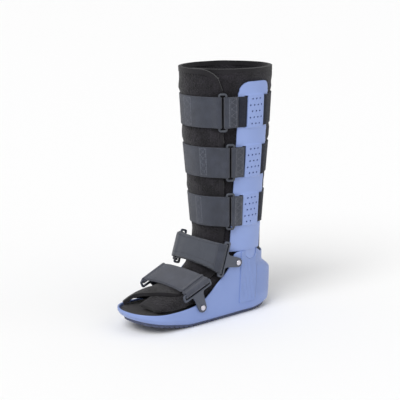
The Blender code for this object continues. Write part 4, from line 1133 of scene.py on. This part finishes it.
def calf_path(row, height):
    """Edge points of one calf strap, from its sewn tab to the end of its folded flap."""
    rail_turn = turn_at(height, UPRIGHT_FRONT, 1)
    frame = ring_frame(height, row.ring_turn, calf_ring_lift(row, height))
    near, far, tab_turn, leaving = calf_turns(row, height)
    over = SOFT_GAP + UPRIGHT_THICKNESS + STRAP_LIFT + 0.15 * MM
    path = []
    for turn in (tab_turn, mix(near, tab_turn, 0.5), near + 3):
        base = max(calf_base_lift(turn, rail_turn), over)
        rise = mix(WRAP_RADIUS * 2, LAYER, smooth((turn - near) / 9))
        path.append(calf_pair(height, turn, base + rise))
    path += calf_wrap(frame, 1)
    crossing = rail_crossing(height, 1)
    path += crossing if rail_turn > near + 2 else crossing[1:]
    path += [calf_pair(height, turn, STRAP_LIFT) for turn in turns_between(leaving, 360 - leaving)]
    path += reversed(rail_crossing(height, -1))
    for turn in turns_between(3 - rail_turn, far - 3):
        path.append(calf_pair(height, turn, lap_lift(turn) + STRAP_LIFT))
    path += reversed(calf_wrap(frame, -1))
    for turn in reversed(turns_between(row.flap_turn, far - 3)):
        rise = mix(WRAP_RADIUS * 2, LAYER, smooth((far - turn) / 9))
        path.append(calf_pair(height, turn, calf_base_lift(turn, rail_turn) + rise))
    return path


def turns_between(first, last):
    """Both turns and the turns of the liner's columns between them, for webbing that lies on it."""
    columns = [turn % 360 for turn in liner_turns()] + [turn % 360 - 360 for turn in liner_turns()]
    inner = sorted({turn for turn in columns if first + 0.5 < turn < last - 0.5})
    return [first] + inner + [last]


def rounded_box(low_a, high_a, low_b, high_b, radius, steps):
    """Rounded rectangle as a list of (a, b) points, anticlockwise."""
    points = []
    corners = ((high_a, high_b, 0), (low_a, high_b, 1), (low_a, low_b, 2), (high_a, low_b, 3))
    for a, b, quarter in corners:
        ca = a - radius if a == high_a else a + radius
        cb = b - radius if b == high_b else b + radius
        for i in range(steps + 1):
            angle = (quarter + i / steps) * math.pi / 2
            points.append((ca + radius * math.cos(angle), cb + radius * math.sin(angle)))
    return points


def curve_mesh(name, curve, outlines):
    """Mesh of a curve through closed outlines of points."""
    for outline in outlines:
        spline = curve.splines.new("POLY")
        spline.points.add(len(outline) - 1)
        for point, place in zip(spline.points, outline):
            point.co = (*place, 1.0)
        spline.use_cyclic_u = True
    holder = bpy.data.objects.new(name, curve)
    bpy.context.scene.collection.objects.link(holder)
    made = bpy.data.objects.new(name, ready_mesh(holder))
    bpy.data.objects.remove(holder, do_unlink=True)
    bpy.context.scene.collection.objects.link(made)
    face_out(made)
    return made


def declare_webbing(item):
    """Works out half a strap's face area, which is not used."""
    area = sum(face.area for face in item.data.polygons) / 2


def strap_grid(name, path, looped=(0, 0), columns=5):
    """Webbing along a path, faced with hook loop between two of the path's places."""
    rows = [[pair[0].lerp(pair[1], j / columns) for pair in path] for j in range(columns + 1)]
    item = lay_grid(name, rows)
    run = [0.0]
    for first, second in zip(rows[columns // 2], rows[columns // 2][1:]):
        run.append(run[-1] + (second - first).length)
    threads = item.data.uv_layers[0].data
    for face in item.data.polygons:
        place = sum(threads[i].uv.x for i in face.loop_indices) / len(face.loop_indices)
        face.material_index = 1 if run[looped[0]] < place < run[looped[1]] else 0
    add_wall(item, WEBBING_THICKNESS, 0)
    soften(item, 0.5 * MM, 2)
    settle_modifiers(item)
    face_out(item)
    smooth_faces(item, 50)
    return item


def tube(name, points, radius):
    """Closed ring of round wire."""
    curve = bpy.data.curves.new(name, "CURVE")
    curve.dimensions = "3D"
    curve.bevel_depth = radius
    curve.bevel_resolution = 4
    item = curve_mesh(name, curve, [points])
    item.data.shade_smooth()
    return item


def woven_webbing(name, colour, light, dark):
    """Woven polypropylene webbing: ribs 2.6 mm apart, drawn coarser than the real 1.3 mm to show, with
    painted highlight on their crests and painted shade between them.
    """
    material, tree, shader, place = new_material(
        name, colour, 0.78, Sheen_Weight=0.2, Specular_IOR_Level=0.35
    )
    threads = add_node(tree, "ShaderNodeTexCoord").outputs["UV"]
    split = add_node(tree, "ShaderNodeSeparateXYZ", None, {"Vector": threads}).outputs
    ribs, warp = [
        sum_up(tree, "SINE", sum_up(tree, "MULTIPLY", split[axis], 2 * math.pi / pitch), 0)
        for axis, pitch in (("X", 0.0026), ("Y", 0.0020))
    ]
    weave = sum_up(tree, "MULTIPLY", ribs, warp)
    # Colour: painted highlight on the raised weave and painted shade in its hollows, over a random tone from
    # the grain.
    tint(tree, shader, sum_up(tree, "MULTIPLY_ADD", weave, 0.5, grain(tree, place, 60, 4.0)), dark, light)
    emboss(tree, shader, weave, 0.8, 0.0006)
    return material


def vary_gloss(tree, shader, share, low, high):
    """Lets the shader's roughness wander between two values."""
    rough = add_node(tree, "ShaderNodeMapRange", {"To Min": low, "To Max": high}, {"Value": share})
    tree.links.new(rough.outputs[0], shader.inputs["Roughness"])


def moulded_acetal(name, colour):
    """Moulded acetal: dark, slightly waxy, with a fine grain."""
    material, tree, shader, place = new_material(name, colour, 0.4)
    pores = grain(tree, place, 1200, 2.0)
    vary_gloss(tree, shader, pores, 0.34, 0.52)
    emboss(tree, shader, pores, 0.12, 0.0002)
    return material


webbing = woven_webbing("woven webbing, slate", "#383c48", "#464b59", "#2a2d36")
acetal = moulded_acetal("moulded acetal, slate", "#3a3e47")
thread = woven_webbing("polyester thread, grey", "#6a6e7a", "#7a7e8a", "#5a5e69")


ABOVE = 20 * MM  # a place well outside a strap, from which its seams are dropped on it


def stitches(name, item, lines, pitch=3.2 * MM):
    """Thread sewn into an item: short raised stitches along lines of points just outside it."""
    shape = bmesh.new()
    for line in lines:
        seats = [item.closest_point_on_mesh(point)[1:3] for point in line]
        for (start, out), (end, _) in zip(seats, seats[1:]):
            run = end - start
            count = max(round(run.length / pitch), 1)
            along = run.normalized()
            side = out.cross(along).normalized()
            for k in range(count):
                middle = start + run * ((k + 0.5) / count)
                made = bmesh.ops.create_uvsphere(shape, u_segments=6, v_segments=4, radius=1.0)["verts"]
                for vert in made:
                    vert.co = (
                        middle + along * vert.co.x * pitch * 0.36 + side * vert.co.y * 0.4 * MM
                        + out * vert.co.z * 0.35 * MM
                    )
    seam = new_item(name, shape)
    seam.data.shade_smooth()
    return seam


def cross_band(place, cells):
    """Lines of a sewn band with crosses in it, over a patch where place takes two shares."""
    lines = [[place(0, j / 8) for j in range(9)], [place(1, j / 8) for j in range(9)]]
    lines += [[place(0, 0), place(0.5, 0), place(1, 0)], [place(0, 1), place(0.5, 1), place(1, 1)]]
    for cell in range(cells):
        low, high = cell / cells, (cell + 1) / cells
        lines.append([place(0, low), place(0.5, (low + high) / 2), place(1, high)])
        lines.append([place(1, low), place(0.5, (low + high) / 2), place(0, high)])
    return lines


# Each strap's sewn band, in degrees from the front
SEWN_TURNS = {"top": (-4.5, 7), "mid": (17.5, 26), "low": (5.5, 15)}
SEAM_INSET = 3 * MM
RING_CORNER = 3 * MM
TAB_PLACES = 9  # places of a path in its tab and round the ring's near bar
loop_facing = knitted_cover("napped hook loop, navy black", "#181b26", "#2b303f", 0.0012, 0.7)
for row, height in zip(CALF_STRAPS, strap_heights()):
    near, far, tab_end, leaving = calf_turns(row, height)
    behind = TAB_PLACES + len(rail_crossing(height, 1)) + len(turns_between(leaving, 360 - leaving))
    strap = strap_grid("calf_webbing_" + row.name, calf_path(row, height), (TAB_PLACES, behind))
    dress(strap, webbing, "calf_strap_" + row.name, "calf_strap_" + row.name)
    strap.data.materials.append(loop_facing)
    declare_webbing(strap)
    middle, round_leg, up, out = ring_frame(height, row.ring_turn, calf_ring_lift(row, height))
    wide = bar_offset()
    tall = (WEBBING_WIDTH + RING_SLACK) / 2 + BAR_RADIUS
    outline = rounded_box(-wide, wide, -tall, tall, RING_CORNER, 5)
    ring = tube("calf_wire_" + row.name, [middle + round_leg * a + up * b for a, b in outline], BAR_RADIUS)
    dress(ring, acetal, "calf_ring_" + row.name, "calf_ring_" + row.name)
    half = WEBBING_WIDTH / 2 - SEAM_INSET
    lines = []
    for low, high in (SEWN_TURNS[row.name], (tab_end - 9.5, tab_end - 1.5)):

        def place(across, along):
            return leg_point(height + mix(-half, half, along), mix(low, high, across), ABOVE)

        lines += cross_band(place, 4)
    seam = stitches("calf_stitches_" + row.name, strap, lines)
    dress(seam, thread, "calf_strap_" + row.name)

# Liner seams
# Two rows of stitches down the lap, where its hook tape is sewn on inside.
LAP_SEAM_TURNS = (32.5, 42.5)
LAP_SEAM_LOW, LAP_SEAM_HIGH = 168 * MM, 405 * MM
lines = []
for turn in LAP_SEAM_TURNS:
    heights = [mix(LAP_SEAM_LOW, LAP_SEAM_HIGH, i / 60) for i in range(61)]
    lines.append([leg_point(z, turn, LAP_RISE + 2 * MM) for z in heights])
lap_seam = stitches("lap_stitches", liner, lines, 3.6 * MM)
dark_thread = woven_webbing("polyester thread, black", "#1c1b20", "#2c2a30", "#141318")
dress(lap_seam, dark_thread, "liner")

# Brackets
# Four swivelling loops of moulded acetal, each an ear on a rivet with a wide slot for the strap.
BRACKET_THICKNESS = 3 * MM
BRACKET_BAR = 3.4 * MM
BRACKET_SLOT = 6.1 * MM
BRACKET_REACH = 35 * MM
BRACKET_SPLAY = 3 * MM
EAR_RADIUS = 8.5 * MM
RIVET_HEAD_RADIUS = 4.6 * MM
RIVET_HEAD_RISE = 2.2 * MM


def bracket_axes(row):
    """Directions from the rivet to the loop and along the loop, as (y, z)."""
    lean = math.radians(row.lean)
    return (-math.cos(lean), math.sin(lean)), (math.sin(lean), math.cos(lean))


def bracket_place(row, along, across, lift):
    """Point of a near bracket: along from the rivet to the loop, across the loop, out of the wall."""
    y, z = pivot_place(row)
    (ay, az), (cy, cz) = bracket_axes(row)
    splay = BRACKET_SPLAY * smooth((along - EAR_RADIUS) / (BRACKET_REACH - EAR_RADIUS))
    x = flank_half_width(y, z) + EAR_RADIUS * WALL_FLARE + GAP + lift + splay
    return Vector((x, y + along * ay + across * cy, z + along * az + across * cz))


def bracket_bar_along():
    return BRACKET_REACH + BRACKET_SLOT / 2 + BRACKET_BAR / 2


def bracket_outline(row):
    """Ear round the rivet, a neck that widens, and the loop's outside, anticlockwise."""
    half = (WEBBING_WIDTH + RING_SLACK) / 2 + BRACKET_BAR * 0.6
    near = BRACKET_REACH - BRACKET_SLOT / 2 - BRACKET_BAR
    far = BRACKET_REACH + BRACKET_SLOT / 2 + BRACKET_BAR
    loop = rounded_box(near, far, row.shift * MM - half, row.shift * MM + half, 3.2 * MM, 2)
    neck = 12 * MM
    split = 6
    points = loop[:split]
    points += [(near, neck), (near - 4 * MM, neck - 2.5 * MM)]
    for i in range(7):
        angle = math.radians(80 + i * 200 / 6)
        points.append((EAR_RADIUS * math.cos(angle), EAR_RADIUS * math.sin(angle)))
    points += [(near - 4 * MM, -neck + 0.5 * MM), (near, -neck - 2 * MM)]
    points += loop[split:]
    return points


def flat_plate(name, outlines, thickness, edge):
    """Plate with rounded edges from flat closed outlines: the first is its edge, the rest holes."""
    curve = bpy.data.curves.new(name, "CURVE")
    curve.dimensions = "2D"
    curve.fill_mode = "BOTH"
    curve.extrude = thickness / 2 - edge
    curve.bevel_depth = edge
    curve.bevel_resolution = 2
    curve.offset = -edge
    return curve_mesh(name, curve, [[(a, b, 0.0) for a, b in outline] for outline in outlines])


BRACKET_EDGE = 0.5 * MM
bracket_acetal = moulded_acetal("moulded acetal, blue grey", "#454a57")
for row in PIVOTS:
    half = (WEBBING_WIDTH + RING_SLACK) / 2 - BRACKET_BAR * 0.4
    slot = rounded_box(
        BRACKET_REACH - BRACKET_SLOT / 2, BRACKET_REACH + BRACKET_SLOT / 2,
        row.shift * MM - half, row.shift * MM + half, 1.5 * MM, 4,
    )
    hole = circle(RIVET_HOLE, 24)
    for label, side in (("near", 1), ("far", -1)):
        outlines = [bracket_outline(row), slot, hole]
        bracket = flat_plate(row.name + "_loop_" + label, outlines, BRACKET_THICKNESS, BRACKET_EDGE)
        for vert in bracket.data.vertices:
            place = bracket_place(row, vert.co.x, vert.co.y, vert.co.z + BRACKET_THICKNESS / 2)
            vert.co = Vector((side * place.x, place.y, place.z))
        face_out(bracket)
        smooth_faces(bracket, 40)
        node = row.name + "_bracket_" + label
        dress(bracket, bracket_acetal, node, node)

# Rivets
# Aluminium rivets with a low domed head over each bracket's ear, pressed and slightly scuffed.


def pressed_aluminium(name, colour):
    """Pressed aluminium: bright, with fine scuffs that vary its gloss."""
    material, tree, shader, place = new_material(name, colour, 0.28, Metallic=1.0)
    vary_gloss(tree, shader, grain(tree, place, 1500, 4.0), 0.22, 0.42)
    return material


# The dome from its top to its edge, as shares of the head's radius and rise
RIVET_DOME = ((0, 1.0), (0.3, 0.97), (0.55, 0.86), (0.78, 0.62), (0.92, 0.36), (1.0, 0.18), (1.0, 0.0))
aluminium = pressed_aluminium("pressed aluminium", "#d9d6de")
for row in PIVOTS:
    y, z = pivot_place(row)
    outside = flank_half_width(y, z) + EAR_RADIUS * WALL_FLARE + GAP + BRACKET_THICKNESS + 2 * GAP
    shank = EAR_RADIUS * WALL_FLARE + BRACKET_THICKNESS + 3 * GAP + SHELL_WALL * 0.8
    for label, side in (("near", 1), ("far", -1)):
        shape = bmesh.new()
        points = [(r * RIVET_HEAD_RADIUS, h * RIVET_HEAD_RISE) for r, h in RIVET_DOME]
        points += [(RIVET_RADIUS, 0.0), (RIVET_RADIUS, -shank), (0.0, -shank)]
        verts = [shape.verts.new((height, radius, 0)) for radius, height in points]
        edges = [shape.edges.new(pair) for pair in zip(verts, verts[1:])]
        bmesh.ops.spin(
            shape, geom=verts + edges, cent=(0, 0, 0), axis=(1, 0, 0), angle=2 * math.pi, steps=32,
            use_merge=True,
        )
        bmesh.ops.remove_doubles(shape, verts=shape.verts, dist=2 * MERGE)
        for vert in shape.verts:
            vert.co = Vector((side * (outside + vert.co.x), y + vert.co.y, z + vert.co.z))
        bmesh.ops.recalc_face_normals(shape, faces=shape.faces)
        rivet = new_item(row.name + "_head_" + label, shape)
        smooth_faces(rivet, 50)
        node = row.name + "_rivet_" + label
        dress(rivet, aluminium, node, node)

# Instep strap and pad
# Webbing looped round both instep brackets, with a padded cover sewn over it near its tail.
PAD_THICKNESS = 4 * MM
PAD_WIDTH = 50 * MM

ArchRow = namedtuple("ArchRow", "edge ahead rise")
INSTEP_CREST = (ArchRow("low", 0.340, 0.855), ArchRow("high", 0.268, 1.200))


def arch_ends(row, webbing):
    """Ends of a foot strap's low and high edge on its bracket's outer bar, near side."""
    along = bracket_bar_along()
    lift = BRACKET_THICKNESS / 2
    ends = []
    for across in (row.shift * MM - webbing / 2, row.shift * MM + webbing / 2):
        ends.append(bracket_place(row, along, across, lift))
    return ends


def foot_wrap_radius():
    bar = math.hypot(BRACKET_BAR, BRACKET_THICKNESS) / 2
    return bar + SOFT_GAP + WEBBING_THICKNESS / 2 + 0.3 * MM


def arch_point(end, crest, turn, lift):
    """Point of one edge of a foot strap: turn 0 at the near bar, 90 on top, 180 at the far bar."""
    bar_lift = STRAP_LIFT + foot_wrap_radius()
    half = end.x - bar_lift
    angle = math.radians(turn)
    rise = Vector((0, crest.y - end.y, crest.z - end.z))
    up = rise.normalized()
    out = Vector((math.cos(angle) / half, 0, 0)) + up * (math.sin(angle) / rise.length)
    base = Vector((half * math.cos(angle), end.y, end.z)) + rise * math.sin(angle)
    return base + out.normalized() * lift


def arch_wrap(pivot, end, side, steps=6):
    """Points round the outer bar, from the outside of the foot, under the bar to its inside."""
    up = Vector((0, *bracket_axes(pivot)[0]))
    centre = Vector((side * end.x, end.y, end.z))
    points = []
    for i in range(steps + 1):
        angle = i * math.pi / steps
        across = Vector((side, 0, 0)) * math.cos(angle)
        points.append(centre + (across - up * math.sin(angle)) * foot_wrap_radius())
    return points


def crest_of(row):
    return Vector((0, -row.ahead * TOE_REACH, row.rise * SEAM_HEIGHT))


def foot_strap_pairs(pivot, crests, parts_of_path):
    """Edge point pairs of a foot strap from stretches of (turn, lift) rows and bar wraps."""
    ends = arch_ends(pivot, WEBBING_WIDTH)
    edges = []
    for end, crest_row in zip(ends, crests):
        crest = crest_of(crest_row)
        edge = []
        for kind, value in parts_of_path:
            if kind == "wrap":
                edge += arch_wrap(pivot, end, value)
            elif kind == "wrap back":
                edge += reversed(arch_wrap(pivot, end, value))
            else:
                edge += [arch_point(end, crest, turn, lift) for turn, lift in value]
        edges.append(edge)
    return list(zip(*edges))


def stretch(first, last, count, lift):
    """Rows of (turn, lift) between two turns, with lift worked out by a function of the turn."""
    turns = [mix(first, last, i / (count - 1)) for i in range(count)]
    return [(turn, lift(turn)) for turn in turns]


pivot = PIVOTS[0]
outer = STRAP_LIFT + 2 * foot_wrap_radius()
stitched = STRAP_LIFT + PAD_THICKNESS + 3 * SOFT_GAP + WEBBING_THICKNESS


def tab_lift(turn):
    return mix(outer, stitched, smooth(turn / 12))


def tail_lift(turn):
    return mix(outer, STRAP_LIFT + LAYER, smooth((180 - turn) / 14))


path = [("run", stretch(20, 3, 8, tab_lift)), ("wrap", 1)]
path += [("run", stretch(3, 177, 50, lambda turn: STRAP_LIFT)), ("wrap back", -1)]
path += [("run", stretch(177, 146, 12, tail_lift))]
instep_strap = strap_grid("instep_webbing", foot_strap_pairs(pivot, INSTEP_CREST, path))
dress(instep_strap, webbing, "instep_strap", "instep_strap")
declare_webbing(instep_strap)
low = STRAP_LIFT + WEBBING_THICKNESS / 2 + 2 * SOFT_GAP + PAD_THICKNESS / 2
ends = arch_ends(pivot, PAD_WIDTH)
crests = [crest_of(row) for row in INSTEP_CREST]
pad_rows = [[] for _ in range(13)]
PAD_START, PAD_END, PAD_CORNER = 6, 165, 13  # degrees over the foot, from the near side


def pad_lift(turn):
    return low + LAYER * smooth((turn - 128) / 14)


for turn, lift in stretch(PAD_START, PAD_END, 61, pad_lift):
    past = max((turn - (PAD_END - PAD_CORNER)) / PAD_CORNER, 0.0)
    tuck = 0.28 * (1 - math.sqrt(1 - min(past, 1.0) ** 2))
    first = arch_point(ends[0], crests[0], turn, lift)
    last = arch_point(ends[1], crests[1], turn, lift)
    for j, row in enumerate(pad_rows):
        row.append(first.lerp(last, mix(tuck, 1 - tuck, j / 12)))
PAD_SWELL = 0.9 * MM  # as far as the cover may swell
instep_pad = lay_grid("instep_cover", pad_rows)
add_wall(instep_pad, PAD_THICKNESS * 0.8, 0)
settle_modifiers(instep_pad)
face_out(instep_pad)
remesh = instep_pad.modifiers.new("even", "REMESH")
remesh.mode = "VOXEL"
remesh.voxel_size = 2.2 * MM
settle_modifiers(instep_pad)
still = [vert.co.copy() for vert in instep_pad.data.vertices]
cloth = instep_pad.modifiers.new("swell", "CLOTH")
cloth.settings.use_pressure = True
cloth.settings.uniform_pressure_force = 4
cloth.settings.effector_weights.gravity = 0
scene = bpy.context.scene
for step in range(1, 13):
    scene.frame_set(step)
settle_modifiers(instep_pad)
scene.frame_set(1)
for vert, before in zip(instep_pad.data.vertices, still):
    moved = vert.co - before
    if moved.length > PAD_SWELL:
        vert.co = before + moved.normalized() * PAD_SWELL
instep_pad.data.shade_smooth()


def padded_cloth(name, colour, light):
    """Brushed nylon cover over thin foam: matt, slightly crumpled, with painted shade in its creases and
    painted highlight on its crests, and a tight plain weave.
    """
    material, tree, shader, place = new_material(name, colour, 0.8, Sheen_Weight=0.25)
    weave = add_node(tree, "ShaderNodeTexVoronoi", {"Scale": 900.0}, {"Vector": place})
    folds = grain(tree, place, 70)
    # The fold noise both raises the cover and colours it: painted highlight on the crests, painted shade in
    # the creases.
    tint(tree, shader, folds, colour, light)
    emboss(tree, shader, weave.outputs["Distance"], 0.35, 0.0004)
    emboss(tree, shader, folds, 0.5, 0.0012)
    return material


PAD_ABOVE = 15 * MM  # a place well outside the pad, from which its seams are dropped on it
PAD_SEAM = 0.08  # share of the pad's width from its edge to its seam
# The seams start with a crossed band at the near side, in degrees as the pad's ends are
BAND_START, BAND_END, SEAM_END = 9, 17, 148


def above_pad(turn, share):
    """Place well outside the pad, a share of the way across it."""
    low_side, high_side = [arch_point(end, crest, turn, low + PAD_ABOVE) for end, crest in zip(ends, crests)]
    return low_side.lerp(high_side, share)


def pad_place(across, along):
    return above_pad(mix(BAND_START, BAND_END, across), mix(PAD_SEAM, 1 - PAD_SEAM, along))


lines = cross_band(pad_place, 4)
for share in (PAD_SEAM, 1 - PAD_SEAM):
    lines.append([above_pad(mix(BAND_START, SEAM_END, i / 40), share) for i in range(41)])
pad_seam = stitches("pad_stitches", instep_pad, lines)
dress(pad_seam, dark_thread, "instep_pad")
dress(instep_pad, padded_cloth("brushed nylon, slate", "#343843", "#42464f"), "instep_pad", "instep_pad")

# Forefoot strap
# One length of webbing: a tab round the near loop, across the foot, round the far loop and back.
FOREFOOT_CREST = (ArchRow("low", 0.605, 0.575), ArchRow("high", 0.395, 0.730))
pivot = PIVOTS[1]
tab_turn = 26


def main_lift(turn):
    over_tab = mix(outer, STRAP_LIFT + LAYER, smooth(turn / 12))
    return mix(over_tab, STRAP_LIFT, smooth((turn - tab_turn - 3) / 9))


def flap_lift(turn):
    near = mix(STRAP_LIFT + 2 * LAYER, STRAP_LIFT + LAYER, smooth((turn - tab_turn - 3) / 9))
    return max(near, tail_lift(turn))


path = [("run", stretch(tab_turn, 3, 8, lambda turn: STRAP_LIFT)), ("wrap back", 1)]
path += [("run", stretch(3, 177, 50, main_lift)), ("wrap back", -1)]
path += [("run", stretch(177, 24, 44, flap_lift))]
forefoot_strap = strap_grid("forefoot_webbing", foot_strap_pairs(pivot, FOREFOOT_CREST, path))
forefoot_webbing = woven_webbing("woven webbing, grey", "#3f424e", "#4d5160", "#31343d")
dress(forefoot_strap, forefoot_webbing, "forefoot_strap", "forefoot_strap")
declare_webbing(forefoot_strap)

# Studio
# A flat pale floor, a key light from the front and above, a weaker fill from the near side, and
# the camera at the photograph's angle.
shape = bmesh.new()
bmesh.ops.create_grid(shape, x_segments=1, y_segments=1, size=60)
floor = new_item("floor", shape)
floor.location.z = -0.0005
floor_paper = new_material("paper backdrop, white", "#f6f6f6", 0.9)[0]
floor.data.materials.append(floor_paper)

world = bpy.data.worlds.new("studio")
bpy.context.scene.world = world
world.use_nodes = True
world.node_tree.nodes["Background"].inputs[0].default_value = (1, 1, 1, 1)
world.node_tree.nodes["Background"].inputs[1].default_value = 0.55
# Each lamp's direction, its spread in degrees and its power
LAMPS = {"key": ((0.45, -1.0, 1.1), 35, 2.1), "fill": ((1.0, 0.5, 0.5), 70, 0.5)}
for name, (place, spread, power) in LAMPS.items():
    lamp = bpy.data.lights.new(name, "SUN")
    lamp.angle = math.radians(spread)
    lamp.energy = power
    holder = bpy.data.objects.new(name, lamp)
    holder.rotation_euler = (-Vector(place)).to_track_quat("-Z", "Y").to_euler()
    bpy.context.scene.collection.objects.link(holder)
CAMERA_PLACE = (1.527, -1.281, 0.624)
CAMERA_DIP, CAMERA_TURN = 12.15, 50.0
lens = bpy.data.cameras.new("camera")
lens.lens = 106.8
lens.sensor_width = 36
lens.shift_x = -0.056
lens.clip_end = 20
camera = bpy.data.objects.new("camera", lens)
camera.location = CAMERA_PLACE
camera.rotation_euler = (math.radians(90 - CAMERA_DIP), 0, math.radians(CAMERA_TURN))
bpy.context.scene.collection.objects.link(camera)
bpy.context.scene.camera = camera
bpy.context.scene.view_settings.view_transform = "Standard"
